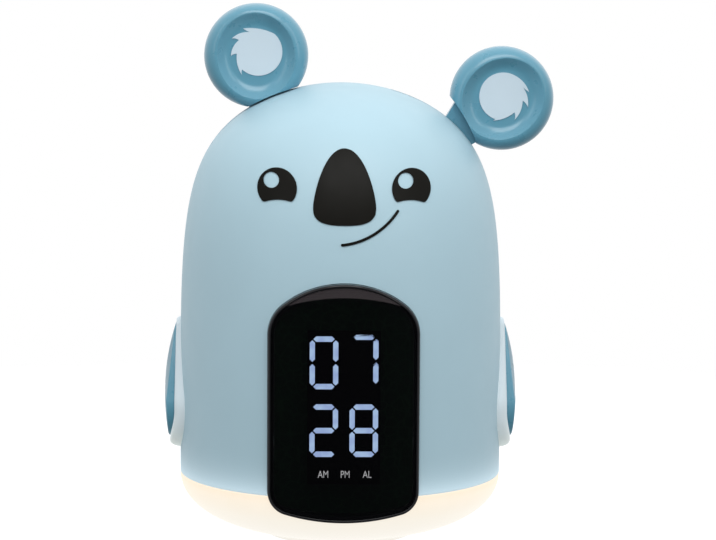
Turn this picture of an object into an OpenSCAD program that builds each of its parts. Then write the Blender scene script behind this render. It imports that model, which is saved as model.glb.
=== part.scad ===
// Kids alarm clock with night light: a koala-headed body on a lamp bowl.
// Millimetres. Seen from the front, X runs to the right, Y to the back and Z up.
// The origin is on the table, under the body's axis.

/* [Body] */
// Radius of the body where it meets the lamp bowl
body_r = 60.5; // [56:0.1:66]
// Height of the body above the lamp bowl
body_h = 147; // [143:0.5:156]
// Thickness of the body shells
wall = 2.2; // [1.6:0.1:3]
// How far the shoulders draw in, as a share of the radius
draw_in = 0.33; // [0.28:0.01:0.36]
// Power at which the shoulders draw in with height
draw_power = 5.1; // [4.6:0.1:5.6]
// Power that sets how tight the crown turns over
crown_power = 12.5; // [11:0.5:14]
// Gap between fixed pieces that fit together
fit_gap = 0.15; // [0.1:0.05:0.25]

/* [Lamp bowl] */
// Height of the joint between the body and the lamp bowl
seam_z = 23.5; // [22:0.5:26]
// Depth to which the bowl's curve would run if it had no flat
bowl_depth = 23.2; // [22.4:0.1:24]
// Thickness of the translucent bowl
bowl_wall = 2.2; // [1.6:0.1:2.6]
// Height of the bowl's flat underside above the table
bowl_flat_z = 2.2; // [1.6:0.1:2.8]
// Radius of the rubber foot
foot_r = 28; // [25:0.5:29]
// Depth by which the foot is let into the bowl
foot_inset = 0.4; // [0.2:0.1:0.8]
// Radius at which the bowl's screws stand
bowl_screw_at = 19; // [16:0.5:20]

/* [Display] */
// Width of the display panel
panel_w = 54.8; // [48:0.2:57]
// Height of the panel's lowest point
panel_low = 15.2; // [14.4:0.2:17]
// Height of the panel's highest point
panel_top = 101.7; // [96:0.1:104]
// How far the panel's curved face stands out from the body
panel_proud = 2.5; // [1.5:0.1:5.5]
// Width of the panel's rim round the lens
panel_rim = 1.2; // [0.8:0.1:2]
// Thickness of the smoked lens
lens_t = 1.6; // [1:0.1:2]
// Thickness of the panel housing's side wall
housing_wall = 2.2; // [1.8:0.1:3]
// Height of one digit
digit_h = 19.4; // [16:0.1:20]
// Width of one digit
digit_w = 10.6; // [9:0.1:11.5]
// Width of one segment
segment_w = 2.2; // [1.6:0.1:2.6]
// Distance between the two columns of digits
digit_pitch = 14.4; // [13:0.1:15]
// Distance between the two rows of digits
digit_row_pitch = 24.6; // [22:0.1:26]
// Height of the middle of the upper row
digit_top_row_z = 73.1; // [71:0.1:75]

/* [Ears] */
// Distance of an ear's hinge inwards from the body's side
ear_pivot_in = 36.9; // [36:0.1:38]
// Distance of the ears' hinges below the body's crown
ear_pivot_drop = 37.9; // [36.5:0.1:39.5]
// Distance of an ear's middle from its hinge
ear_reach = 48.7; // [47.5:0.1:50]
// Radius of an ear
ear_r = 19.5; // [18:0.1:21]
// Half the thickness of an ear
ear_half_t = 7; // [6:0.1:8]
// Radius of the ear rim's crest
ear_crest_r = 15.7; // [14.5:0.1:16.5]
// Radius of the pale patch in an ear
patch_r = 9; // [7.5:0.1:10]
// Angle of an ear's middle above the horizontal when it is closed
ear_closed_at = 80; // [78:0.5:82]
// Angle through which an ear swings out
ear_swing = 38.4; // [34:0.2:40]
// Gap between an ear and the crown of the body
ear_gap = 0.5; // [0.4:0.1:0.8]
// Radius of an ear's hinge pin
ear_pin_r = 1.5; // [1.2:0.1:2]

/* [Arms] */
// Height of the middle of an arm's round end
arm_z = 48.5; // [46:0.5:51]
// Radius of an arm ring's round end
arm_r = 16; // [14:0.1:17]
// Radius of an arm ring's upper end
arm_tip_r = 5; // [4.6:0.1:6]
// Distance between the middles of an arm's two ends
arm_rise = 29.1; // [26:0.1:31]
// Width of an arm ring
arm_ring_w = 4; // [3.4:0.1:4.4]
// How far an arm ring's face stands out from the body
arm_ring_proud = 1.9; // [1.3:0.1:3.5]
// How far an arm button's highest point stands out from the body
arm_button_proud = 5.9; // [4.5:0.1:7.5]
// Travel of an arm button
arm_travel = 1.2; // [0.8:0.1:1.4]

/* [Face] */
// Thickness of the face's printed pads
print_t = 0.4; // [0.3:0.1:0.8]
// Distance of an eye from the middle plane
eye_x = 24.2; // [21:0.1:27]
// Distance of the eyes below the body's crown
eye_drop = 35.4; // [33.5:0.1:39.5]
// Radius of an eye
eye_r = 7.2; // [6:0.1:8]
// Distance of the nose's top below the body's crown
nose_drop = 21.2; // [19.5:0.1:25.5]
// Height of the nose
nose_h = 27; // [24:0.5:29]
// Width of the nose
nose_w = 22.6; // [20:0.2:25]
// Radius of the smile's arc
smile_r = 27.7; // [25:0.1:30]
// Width of the smile's stroke
smile_w = 1; // [0.8:0.1:1.6]

/* [Back] */
// Half the width of the battery door
door_half_w = 22; // [20.5:0.5:23]
// Height of the battery door's lower edge
door_low = 27.5; // [27:0.5:28.5]
// Height of the battery door's upper edge
door_top = 86.5; // [86:0.5:87]
// Width of the recessed control panel
control_w = 36; // [34:0.5:37]
// Height of the recessed control panel
control_h = 28; // [27:0.5:29]
// Height of the control panel's middle
control_z = 103.5; // [103:0.5:104]
// Depth of the control panel's face in from the body's back
control_in = 3.2; // [2.7:0.1:3.5]
// Radius of a rear button
key_r = 3.4; // [3:0.1:3.8]
// Distance between neighbouring rear buttons
key_pitch = 9; // [8.5:0.1:9.6]
// Travel of a rear button
key_travel = 0.8; // [0.5:0.1:1]
// Radius of the speaker
speaker_r = 15; // [13:0.5:15.5]
// Gap between the speaker's tube and the control panel's flange under it
speaker_gap = 0.6; // [0.1:0.5:1.6]
// Height of the power socket
socket_z = 33; // [31:0.5:35]

/* [Hidden] */
$fn = 64;
eps = 0.01;

// Colours
shell_blue = [0.74, 0.84, 0.89];
ear_blue = [0.42, 0.62, 0.71];
patch_blue = [0.79, 0.86, 0.90];
ring_white = [0.84, 0.89, 0.92];
bowl_cream = [0.99, 0.96, 0.90];
lit_blue = [0.72, 0.78, 0.95];
board_green = [0.13, 0.35, 0.2];

crown_z = seam_z + body_h;

// Body outline: radius at height z of a body of foot radius r and height h
body_steps = 30;
function body_rad(z, r, h) = let(t = max(0, (z - seam_z) / h))
    t >= 1 ? 0 : r * (1 - draw_in * pow(t, draw_power)) * sqrt(1 - pow(t, crown_power));
// Points up the side, closer together towards the crown
function body_side(r, h) = [for (i = [0 : body_steps])
    let(t = 1 - pow(1 - i / body_steps, 2), z = seam_z + h * t)
    [i == body_steps ? 0 : body_rad(z, r, h), z]];
function reversed(list) = [for (i = [len(list) - 1 : -1 : 0]) list[i]];
// Half the width of the body's inside at distance y from the middle plane, at height z
function inner_half(z, y) = sqrt(max(0, pow(body_rad(z, body_r - wall, body_h - wall), 2) - y * y));

// Bowl outline, from the seam down to height low
bowl_steps = 14;
bowl_round = 2.14;
bowl_fullness = 2.61;
function bowl_rad(z, r, depth) = r * pow(1 - pow((seam_z - z) / depth, bowl_round), 1 / bowl_fullness);
function bowl_side(r, depth, low) = [for (i = [0 : bowl_steps])
    let(z = seam_z - (seam_z - low) * i / bowl_steps) [bowl_rad(z, r, depth), z]];
bowl_floor_z = bowl_flat_z + bowl_wall;

// Fasteners
screw_r = 1.2;
screw_head_r = 2.4;
screw_head_h = 1.6;
boss_r = 3.6;
housing_screw_x = body_r - 20.5;
housing_screw_high_z = 95;
housing_screw_low_z = 52;
housing_screw_seat_y = 6;
housing_screw_bite = 8;
housing_screw_at = [[-housing_screw_x, housing_screw_high_z], [housing_screw_x, housing_screw_high_z],
    [-housing_screw_x, housing_screw_low_z], [housing_screw_x, housing_screw_low_z], [0, crown_z - 10]];
chassis_screw_at = body_r - 6.5;
chassis_screw_angles = [40, 140, 218, 322];
chassis_post_h = 9;
chassis_hole_r = 14;
chassis_boss_r = 4;
bowl_screw_r = 1.5;
bowl_screw_head_r = 2.9;
bowl_screw_angles = [90, 210, 330];

// Base pieces
chassis_t = 3;
chassis_z = seam_z - chassis_t;
chassis_r = bowl_rad(chassis_z, body_r - bowl_wall, bowl_depth - bowl_wall) - 2 * fit_gap;
bowl_boss_top = 12;
bowl_boss_r = 5;
bowl_screw_seat_z = bowl_floor_z + 1.6;
bowl_screw_head_h = 1.8;
led_board_t = 1.6;
led_board_z = 17;
led_board_r = body_r - 16.5;
led_board_hole_r = 26;
led_count = 12;
led_at = led_board_r - 4;
led_half_w = 1.4;
led_half_l = 1.8;
led_h = 1;
led_board_post_r = 2.5;
cable_hole_y = 30;
cable_hole_r = 5.5;
led_cable_x = 11;

// Display pieces, front to back
panel_face_r = body_r + panel_proud;
panel_top_r = 34.5;
panel_top_corner_r = 14.5;
panel_low_r = 95;
panel_low_corner_r = 8;
mask_gap = 0.3;
mask_y = -sqrt(pow(panel_face_r - lens_t, 2) - pow(digit_pitch / 2 + digit_w / 2, 2)) + mask_gap;
mask_t = 4;
mask_half_w = (digit_pitch + digit_w) / 2 + 0.6;
segment_gap = 0.35;
segment_t = 0.8;
indicator_z = digit_top_row_z - digit_row_pitch - digit_h / 2 - 6.3;
indicator_h = 3;
indicator_w = 3.4;
indicator_at = [-7.3, 0.6, 8.5];
display_board_y = mask_y + mask_t;
board_t = 1.6;
housing_back_y = -(body_r - 13.5);
panel_cut_y = housing_back_y + 12;
display_chip_half_w = 6;
display_chip_h = 12;
housing_flange = 1.9;
housing_flange_t = 2;

// Ears
ear_pivot_x = body_r - ear_pivot_in;
ear_pivot_z = crown_z - ear_pivot_drop;
ear_open_at = ear_closed_at - ear_swing;
ear_wall = 1.6;
ear_dish_r = patch_r + 0.8;
ear_dish_h = ear_half_t - 2.9;
patch_t = 0.7;
hub_r = 5;
hub_half_l = 12;
pin_half_l = 16.5;
pin_seat_gap = 0.02;
pin_run_gap = 0.05;
post_r = 4;
post_gap = 0.4;
arm_plate_half_t = ear_dish_h - ear_wall - 0.3;
arm_plate_play = 0.05;
arm_plate_low = -11;
arm_plate_high = 17;
arm_plate_r = ear_reach - 7.7;
slot_half_w = arm_plate_half_t + 0.5;
slot_play = 1.4;
shutter_low = -54;
shutter_high = 61;
shutter_t = 1.2;
shutter_half_w = 6;
// Distance from the right hinge to the crown at angle a, found by halving
function crown_cut(a, near, far, n) = let(mid = (near + far) / 2)
    n == 0 ? mid :
    ear_pivot_x + mid * cos(a) < body_rad(ear_pivot_z + mid * sin(a), body_r, body_h)
        ? crown_cut(a, mid, far, n - 1) : crown_cut(a, near, mid, n - 1);
crown_near = 15;
crown_far = body_r - 0.5;
function crown_at(a) = crown_cut(a, crown_near, crown_far, 14);
// Farthest that the crown reaches past an ear's edge at ear angle a, over the whole swing
function notch_at(a) = max([for (k = [0 : 8]) crown_at(a + ear_closed_at - ear_swing * k / 8)]) + ear_gap;
slot_near_r = 24;
slot_far_r = ear_reach - 3.7;
shutter_gap = 1.2;
shutter_r = min([for (a = [20 : 5 : 80]) crown_at(a)]) - wall - shutter_gap;
switch_shelf_z = ear_pivot_z - 13;
switch_shelf_t = 2;
switch_h = 5.3;
ear_switch_half_w = 3.2;

// Arms
arm_ring_x = body_r + arm_ring_proud;
arm_button_x = body_r + arm_button_proud;
arm_gap = 0.3;
arm_tip_step = 2.4;
arm_switch_z = arm_z + 5;
arm_flange_r = arm_r - arm_ring_w + 1.4;
arm_flange_t = 1.2;
arm_flange_x = inner_half(arm_z, arm_flange_r) - 0.4;
arm_button_wall = 1.6;
arm_dome_r = 86;
arm_dome_z = 53;
arm_post_r = 2.5;
arm_post_x = arm_flange_x - arm_flange_t - 0.4;
arm_board_x = body_r - 14.5;
arm_board_half_w = 15.6;
arm_board_h = 14;
arm_rib_t = 2;
arm_rib_h = 18;
plunger_r = 1.7;

// Back
back_cut_y = body_r - 20.5;
control_y = body_r - control_in;
bar_t = 1.5;
control_t = 2;
control_flange = 2;
control_flange_t = 1.4;
control_rib = 3.2;
control_post_r = 1.8;
control_post_in = 2.6;
key_gap = 0.25;
key_play = 0.2;
control_flange_y = inner_half(control_z + control_h / 2, control_w / 2 + control_flange) - 0.3;
key_proud = 1.3;
key_flange = 0.8;
key_flange_t = 1;
key_flange_y = control_y - control_t - 0.3;
main_board_y = key_flange_y - key_flange_t - 8.4;
switch_body_h = 3.5;
switch_half_w = 3;
cell_r = 5.25;
cell_l = 44.5;
cell_pitch = 11.2;
cell_nub_r = 1.9;
cell_nub_l = 1.2;
box_wall = 1.5;
box_low = 30;
box_half_w = 18.5;
box_back_y = body_r - 7;
box_y = box_back_y - 15.3;
cell_y = box_y + box_wall + cell_r + 0.25;
contact_t = 0.7;
contact_half_w = 4;
cell_z = box_low + box_wall + contact_t;
box_top = cell_z + cell_l + contact_t + box_wall;
box_flange_x = 26;
door_screw_z = box_top + 4;
door_screw_boss_r = 3.2;
door_boss_y = box_y + 5.8;
door_screw_seat_y = body_r - wall + 0.9;
box_flange_t = 1.5;
box_flange_y = inner_half(door_low, box_flange_x) - 0.5;
speaker_y = body_r - 24.5;
speaker_frame_t = 2;
speaker_tube_t = 1.6;
speaker_tube_gap = 0.3;
speaker_z = control_z + control_h / 2 + control_flange + speaker_gap
    + speaker_r + speaker_tube_gap + speaker_tube_t;
magnet_r = 9;
magnet_t = 6;
speaker_yoke_t = 3;
speaker_yoke_wall = 1.5;
speaker_rim = 2.5;
cone_y = 0.6;
cone_t = 1;
cone_cap_r = 5;
wire_x = 4;
wire_half_w = 0.6;
wire_y = speaker_y - speaker_yoke_t - 3;
wire_low = 3;
grille_pitch = 4;
grille_slot = 2;
grille_r = 11;
socket_at = 38;
socket_w = 9;
socket_h = 3.3;
socket_depth = 7.4;
socket_wall = 0.4;
socket_in = 0.6;

// Face
eye_z = crown_z - eye_drop;
nose_top = crown_z - nose_drop;
glint_r = 2.8;
glint_dx = -2.1;
glint_dz = 2.75;
eye_cut_r = 22.8;
eye_cut_z = 4.4;
nose_tip_r = 4.4;
nose_corner_r = 5.3;
smile_mid_x = -3.6;
smile_mid_z = crown_z - 27.5;
smile_from = -84.2;
smile_to = -34.7;

// ---- Shared shapes ----

// Solid of the body's outside, or of a body drawn in by d
module body_solid(d = 0) {
    rotate_extrude($fn = 128)
        polygon(concat([[0, seam_z - d]], [[body_r - d, seam_z - d]], body_side(body_r - d, body_h - d)));
}

// The body's wall as a full turn, from d outside to d inside
module body_wall(outside, inside, turn = 360) {
    rotate_extrude(angle = turn, $fn = 128)
        polygon(concat(body_side(body_r + outside, body_h + outside),
            reversed(body_side(body_r - inside, body_h - inside))));
}

// A shape drawn in X and Z, standing from y0 to y1
module upright(y0, y1) {
    translate([0, y1, 0]) rotate([90, 0, 0]) linear_extrude(y1 - y0) children();
}

// A bar of radius r along Y
module along_y(x, z, r, y0, y1) {
    translate([x, y1, z]) rotate([90, 0, 0]) cylinder(r = r, h = y1 - y0, $fn = 48);
}

module block(x0, x1, y0, y1, z0, z1) {
    translate([x0, y0, z0]) cube([x1 - x0, y1 - y0, z1 - z0]);
}

function arc(x, z, r, from, to, n) = [for (i = [0 : n]) let(a = from + (to - from) * i / n)
    [x + r * cos(a), z + r * sin(a)]];

// Upright panel outline: straight sides, a bowed top and a flatter bowed foot, grown by g
function panel_quarter(half_w, big_r, corner_r, n) =
    let(cx = half_w - corner_r, cz = sqrt(pow(big_r - corner_r, 2) - cx * cx), a = atan2(cz, cx))
    concat(arc(cx, cz - big_r, corner_r, 0, a, n), arc(0, -big_r, big_r, a, 90, n));
function panel_outline(g) =
    let(half = panel_w / 2 + g,
        top = panel_quarter(half, panel_top_r + g, panel_top_corner_r + g, 8),
        low = panel_quarter(half, panel_low_r + g, panel_low_corner_r + g, 6))
    concat([for (p = top) [p.x, panel_top + g + p.y]],
        [for (i = [len(top) - 2 : -1 : 0]) [-top[i].x, panel_top + g + top[i].y]],
        [for (p = low) [-p.x, panel_low - g - p.y]],
        [for (i = [len(low) - 2 : -1 : 0]) [low[i].x, panel_low - g - low[i].y]]);

// Teardrop in Y and Z: round end of radius big at the bottom, tip of radius small above it
function drop_outline(big, small) =
    let(lean = asin((big - small) / arm_rise), n = 10)
    concat(arc(0, arm_z + arm_rise, small, lean, 180 - lean, n),
        arc(0, arm_z, big, 180 - lean, 360 + lean, 2 * n));

// Stands a shape drawn in Y and Z out along X, from x0 to x1, on the given side
module sideways(side, x0, x1) {
    mirror([side < 0 ? 1 : 0, 0, 0]) translate([x0, 0, 0])
        rotate([90, 0, 90]) linear_extrude(x1 - x0) children();
}

module screw_along_y(x, z, seat_y, tip_y, r, head_r, head_h) {
    along_y(x, z, r, tip_y, seat_y + eps);
    along_y(x, z, head_r, seat_y, seat_y + head_h);
}

// ---- Body shells ----

// Everything that both halves are cut by
module shell_cuts() {
    for (side = [-1, 1]) {
        mirror([side < 0 ? 1 : 0, 0, 0]) ear_slot();
        sideways(side, arm_flange_x - 2, arm_ring_x)
            polygon(drop_outline(arm_r - arm_ring_w, arm_tip_r - arm_tip_step));
    }
}

// The slot that an ear's arm swings in
module ear_slot() {
    translate([ear_pivot_x, 0, ear_pivot_z]) rotate([90, 0, 0])
        linear_extrude(2 * slot_half_w, center = true)
            polygon(concat(
                arc(0, 0, slot_far_r, ear_open_at + arm_plate_low - slot_play,
                    ear_closed_at + arm_plate_high + slot_play, 10),
                reversed(arc(0, 0, slot_near_r, ear_open_at + arm_plate_low - slot_play,
                    ear_closed_at + arm_plate_high + slot_play, 10))));
}

// Ribs that grip the arm switch boards, for the half at y > 0
module arm_ribs() {
    for (side = [-1, 1]) {
        intersection() {
            mirror([side < 0 ? 1 : 0, 0, 0]) difference() {
                block(arm_board_x - 1.4, body_r, arm_board_half_w - 1, arm_board_half_w - 1 + arm_rib_t,
                    arm_switch_z - arm_rib_h / 2, arm_switch_z + arm_rib_h / 2);
                block(arm_board_x - eps, arm_board_x + board_t + eps, 0, arm_board_half_w + eps,
                    arm_switch_z - arm_board_h / 2 - eps, arm_switch_z + arm_board_h / 2 + eps);
            }
            body_solid(wall / 2);
        }
    }
}

// Posts under the shell's rim that the chassis is screwed to
module chassis_posts(angles) {
    for (a = angles) rotate([0, 0, a]) difference() {
        union() {
            translate([chassis_screw_at, 0, seam_z]) cylinder(r = boss_r - 0.2, h = chassis_post_h);
            block(chassis_screw_at, body_r - wall / 2, -1, 1, seam_z, seam_z + chassis_post_h);
        }
        translate([chassis_screw_at, 0, seam_z - eps]) cylinder(r = screw_r, h = chassis_post_h - 1);
    }
}

module front_shell() {
    color(shell_blue) {
        difference() {
            union() {
                rotate([0, 0, 180]) body_wall(0, wall, 180);
                intersection() {
                    body_solid(wall / 2);
                    union() {
                        for (p = housing_screw_at) along_y(p.x, p.y, boss_r, -body_r, 0);
                        for (side = [-1, 1]) along_y(side * ear_pivot_x, ear_pivot_z, post_r,
                            -body_r, -hub_half_l - post_gap);
                        block(-ear_pivot_x - 5, ear_pivot_x + 5, -body_r, 4,
                            switch_shelf_z, switch_shelf_z + switch_shelf_t);
                    }
                }
            }
            shell_cuts();
            upright(-panel_face_r, panel_cut_y) polygon(panel_outline(fit_gap));
            for (p = housing_screw_at) along_y(p.x, p.y, screw_r, -housing_screw_bite - 2, eps);
            for (side = [-1, 1]) along_y(side * ear_pivot_x, ear_pivot_z, ear_pin_r + pin_seat_gap,
                -pin_half_l - 0.5, 0);
        }
        mirror([0, 1, 0]) arm_ribs();
        chassis_posts([chassis_screw_angles[2], chassis_screw_angles[3]]);
    }
}

module rear_shell() {
    color(shell_blue) {
        difference() {
            union() {
                body_wall(0, wall, 180);
                intersection() {
                    body_solid(wall / 2);
                    union() {
                        for (p = housing_screw_at) along_y(p.x, p.y, boss_r, 0, body_r);
                        for (side = [-1, 1]) along_y(side * ear_pivot_x, ear_pivot_z, post_r,
                            hub_half_l + post_gap, body_r);
                        difference() {
                            along_y(0, speaker_z, speaker_r + speaker_tube_gap + speaker_tube_t,
                                speaker_y, body_r);
                            along_y(0, speaker_z, speaker_r + speaker_tube_gap, 0, body_r);
                        }
                    }
                }
            }
            shell_cuts();
            for (p = housing_screw_at) {
                along_y(p.x, p.y, screw_r + 0.1, -eps, body_r);
                along_y(p.x, p.y, screw_head_r + 0.2, housing_screw_seat_y, body_r + 1);
            }
            for (side = [-1, 1]) along_y(side * ear_pivot_x, ear_pivot_z, ear_pin_r + pin_seat_gap,
                0, pin_half_l + 0.5);
            block(-door_half_w - fit_gap, door_half_w + fit_gap, back_cut_y, body_r + 1,
                door_low - fit_gap, door_top + fit_gap);
            block(-control_w / 2 - fit_gap, control_w / 2 + fit_gap, back_cut_y, body_r + 1,
                control_z - control_h / 2 - fit_gap, control_z + control_h / 2 + fit_gap);
            grille_slots();
            rotate([0, 0, -socket_at]) block(-socket_w / 2 - fit_gap, socket_w / 2 + fit_gap,
                body_r - wall - 2, body_r + 1, socket_z - fit_gap, socket_z + socket_h + fit_gap);
        }
        arm_ribs();
        chassis_posts([chassis_screw_angles[0], chassis_screw_angles[1]]);
    }
}

// Sound slots in front of the speaker, each as long as the circle they fill allows
module grille_slots() {
    for (k = [-2 : 2]) {
        half = sqrt(pow(grille_r, 2) - pow(k * grille_pitch, 2));
        block(-half, half, speaker_y + speaker_frame_t, body_r + 1,
            speaker_z + k * grille_pitch - grille_slot / 2, speaker_z + k * grille_pitch + grille_slot / 2);
    }
}

module housing_screws() {
    color("silver") for (p = housing_screw_at)
        screw_along_y(p.x, p.y, housing_screw_seat_y, -housing_screw_bite,
            screw_r, screw_head_r, screw_head_h);
}

// ---- Lamp bowl and base ----

module light_base() {
    inner = bowl_side(body_r - bowl_wall, bowl_depth - bowl_wall, bowl_floor_z);
    color(bowl_cream) difference() {
        union() {
            rotate_extrude($fn = 128) polygon(concat([[0, bowl_floor_z], [0, bowl_flat_z]],
                reversed(bowl_side(body_r, bowl_depth, bowl_flat_z)), inner));
            for (a = bowl_screw_angles) rotate([0, 0, a]) translate([bowl_screw_at, 0, bowl_flat_z + 1])
                cylinder(r = bowl_boss_r, h = bowl_boss_top - bowl_flat_z - 1);
        }
        translate([0, 0, bowl_flat_z - 1]) cylinder(r = foot_r + fit_gap, h = 1 + foot_inset);
        for (a = bowl_screw_angles) rotate([0, 0, a]) translate([bowl_screw_at, 0, 0]) {
            cylinder(r = bowl_screw_r + 0.1, h = bowl_boss_top + 1);
            cylinder(r = bowl_screw_head_r + 2 * fit_gap, h = bowl_screw_seat_z);
        }
        upright(-panel_face_r, panel_cut_y) polygon(panel_outline(fit_gap));
    }
}

module base_chassis() {
    color("whitesmoke") difference() {
        union() {
            difference() {
                translate([0, 0, chassis_z]) cylinder(r = chassis_r, h = chassis_t, $fn = 128);
                translate([0, 0, chassis_z - 1]) cylinder(r = chassis_hole_r, h = chassis_t + 2);
            }
            for (a = bowl_screw_angles) rotate([0, 0, a]) {
                translate([bowl_screw_at, 0, bowl_boss_top])
                    cylinder(r = chassis_boss_r, h = chassis_z - bowl_boss_top + 1);
                translate([(led_board_r + led_board_hole_r) / 2, 0, led_board_z + led_board_t])
                    cylinder(r = led_board_post_r, h = chassis_z - led_board_z - led_board_t + 1);
            }
        }
        for (a = bowl_screw_angles) rotate([0, 0, a]) translate([bowl_screw_at, 0, bowl_boss_top - 1])
            cylinder(r = bowl_screw_r, h = 8);
        for (a = chassis_screw_angles) rotate([0, 0, a]) translate([chassis_screw_at, 0, chassis_z - 1])
            cylinder(r = screw_r + 0.1, h = chassis_t + 2);
        block(-panel_w / 2 - housing_flange - 0.5, panel_w / 2 + housing_flange + 0.5, -body_r,
            housing_back_y + 0.5, 0, seam_z + 1);
        translate([led_cable_x, cable_hole_y, chassis_z - 1]) cylinder(r = cable_hole_r, h = chassis_t + 2);
    }
}

module chassis_screws() {
    color("silver") for (a = chassis_screw_angles) rotate([0, 0, a]) translate([chassis_screw_at, 0, 0]) {
        translate([0, 0, chassis_z - eps]) cylinder(r = screw_r, h = chassis_t + chassis_post_h - 3);
        translate([0, 0, chassis_z - screw_head_h]) cylinder(r = screw_head_r, h = screw_head_h);
    }
}

module led_ring_board() {
    color("white") translate([0, 0, led_board_z]) difference() {
        cylinder(r = led_board_r, h = led_board_t, $fn = 96);
        translate([0, 0, -1]) cylinder(r = led_board_hole_r, h = led_board_t + 2);
    }
}

module night_leds() {
    color("khaki") for (k = [0 : led_count - 1]) rotate([0, 0, 360 * (k + 0.5) / led_count])
        block(led_at - led_half_w, led_at + led_half_w, -led_half_l, led_half_l,
            led_board_z - led_h, led_board_z);
}

module rubber_foot() {
    color([0.85, 0.85, 0.85]) cylinder(r = foot_r, h = bowl_flat_z + foot_inset, $fn = 96);
}

module base_screws() {
    length = chassis_z - 2 - bowl_screw_seat_z;
    color("silver") for (a = bowl_screw_angles)
        rotate([0, 0, a]) translate([bowl_screw_at, 0, bowl_screw_seat_z]) {
            translate([0, 0, -eps]) cylinder(r = bowl_screw_r, h = length);
            translate([0, 0, -bowl_screw_head_h]) cylinder(r = bowl_screw_head_r, h = bowl_screw_head_h);
        }
}

// ---- Display ----

module display_housing() {
    color([0.05, 0.05, 0.06]) difference() {
        union() {
            intersection() {
                upright(-panel_face_r - 1, housing_back_y) polygon(panel_outline(0));
                cylinder(r = panel_face_r, h = panel_top + 5, $fn = 160);
            }
            upright(housing_back_y - housing_flange_t, housing_back_y) polygon(panel_outline(housing_flange));
        }
        upright(-panel_face_r - 2, housing_back_y + 1) polygon(panel_outline(-housing_wall));
        difference() {
            upright(-panel_face_r - 2, housing_back_y) polygon(panel_outline(-panel_rim + fit_gap));
            cylinder(r = panel_face_r - lens_t, h = panel_top + 5, $fn = 160);
        }
    }
}

module display_lens() {
    color([0.1, 0.1, 0.12, 0.6]) difference() {
        intersection() {
            upright(-panel_face_r - 1, housing_back_y) polygon(panel_outline(-panel_rim));
            cylinder(r = panel_face_r, h = panel_top + 5, $fn = 160);
        }
        cylinder(r = panel_face_r - lens_t, h = panel_top + 5, $fn = 160);
    }
}

// One segment lying along X, with pointed ends, about its own middle
module segment(length) {
    half = length / 2 - segment_gap;
    tip = segment_w / 2;
    polygon([[-half, 0], [-half + tip, tip], [half - tip, tip],
        [half, 0], [half - tip, -tip], [-half + tip, -tip]]);
}

// The segments that a digit lights, named a to g clockwise from the top with g in the middle
all_segments = ["a", "b", "c", "d", "e", "f", "g"];
lit_in = [["a", "b", "c", "d", "e", "f"], ["a", "b", "c"], ["a", "b", "g", "e", "d"], all_segments];
digit_low_row_z = digit_top_row_z - digit_row_pitch;
digit_at = [[-digit_pitch / 2, digit_top_row_z], [digit_pitch / 2, digit_top_row_z],
    [-digit_pitch / 2, digit_low_row_z], [digit_pitch / 2, digit_low_row_z]];
function is_lit(k, s) = len([for (lit = lit_in[k]) if (lit == s) lit]) > 0;

module segment_place(s) {
    across = digit_w - segment_w;
    up = (digit_h - segment_w) / 2;
    if (s == "a") translate([0, up]) segment(across);
    if (s == "g") segment(across);
    if (s == "d") translate([0, -up]) segment(across);
    if (s == "b") translate([across / 2, up / 2]) rotate(90) segment(up);
    if (s == "c") translate([across / 2, -up / 2]) rotate(90) segment(up);
    if (s == "f") translate([-across / 2, up / 2]) rotate(90) segment(up);
    if (s == "e") translate([-across / 2, -up / 2]) rotate(90) segment(up);
}

module digit(k, lit) {
    for (s = all_segments)
        if (is_lit(k, s) == lit) translate(digit_at[k]) segment_place(s);
}

module segments(k, lit) {
    upright(mask_y, mask_y + segment_t) digit(k, lit);
}

module hour_tens_digit() { color(lit_blue) segments(0, true); }
module hour_units_digit() { color(lit_blue) segments(1, true); }
module minute_tens_digit() { color(lit_blue) segments(2, true); }
module minute_units_digit() { color(lit_blue) segments(3, true); }
module unlit_segments() { color([0.15, 0.15, 0.16]) for (k = [0 : 3]) segments(k, false); }

module indicator_marks_2d() {
    for (x = indicator_at) translate([x - indicator_w / 2, indicator_z - indicator_h / 2])
        square([indicator_w, indicator_h]);
}
module indicator_windows() {
    color([0.7, 0.7, 0.72]) upright(mask_y, mask_y + segment_t) indicator_marks_2d();
}

module segment_mask() {
    low = indicator_z - indicator_h / 2 - 2;
    color([0.08, 0.08, 0.08]) difference() {
        block(-mask_half_w, mask_half_w, mask_y, mask_y + mask_t, low, digit_top_row_z + digit_h / 2 + 1.5);
        for (k = [0 : 3]) for (lit = [true, false])
            upright(mask_y - 1, mask_y + segment_t) digit(k, lit);
        upright(mask_y - 1, mask_y + segment_t) indicator_marks_2d();
    }
}

module display_board() {
    chip_low = digit_top_row_z - digit_row_pitch;
    color(board_green) {
        upright(display_board_y, display_board_y + board_t) polygon(panel_outline(-housing_wall - fit_gap));
        block(-display_chip_half_w, display_chip_half_w, display_board_y + board_t,
            display_board_y + board_t + 2, chip_low, chip_low + display_chip_h);
    }
}

// A flat cable as a band in Y and Z, the points of its middle line and its thickness given
function band(points, t) = concat([for (p = points) [p.x, p.y + t / 2]],
    [for (i = [len(points) - 1 : -1 : 0]) [points[i].x, points[i].y - t / 2]]);
ribbon_z = control_z - control_h / 2 + 6;
ribbon_sag = 18;
ribbon_t = 0.8;
ribbon_half_w = 5;
led_cable_half_w = 3;

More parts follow.
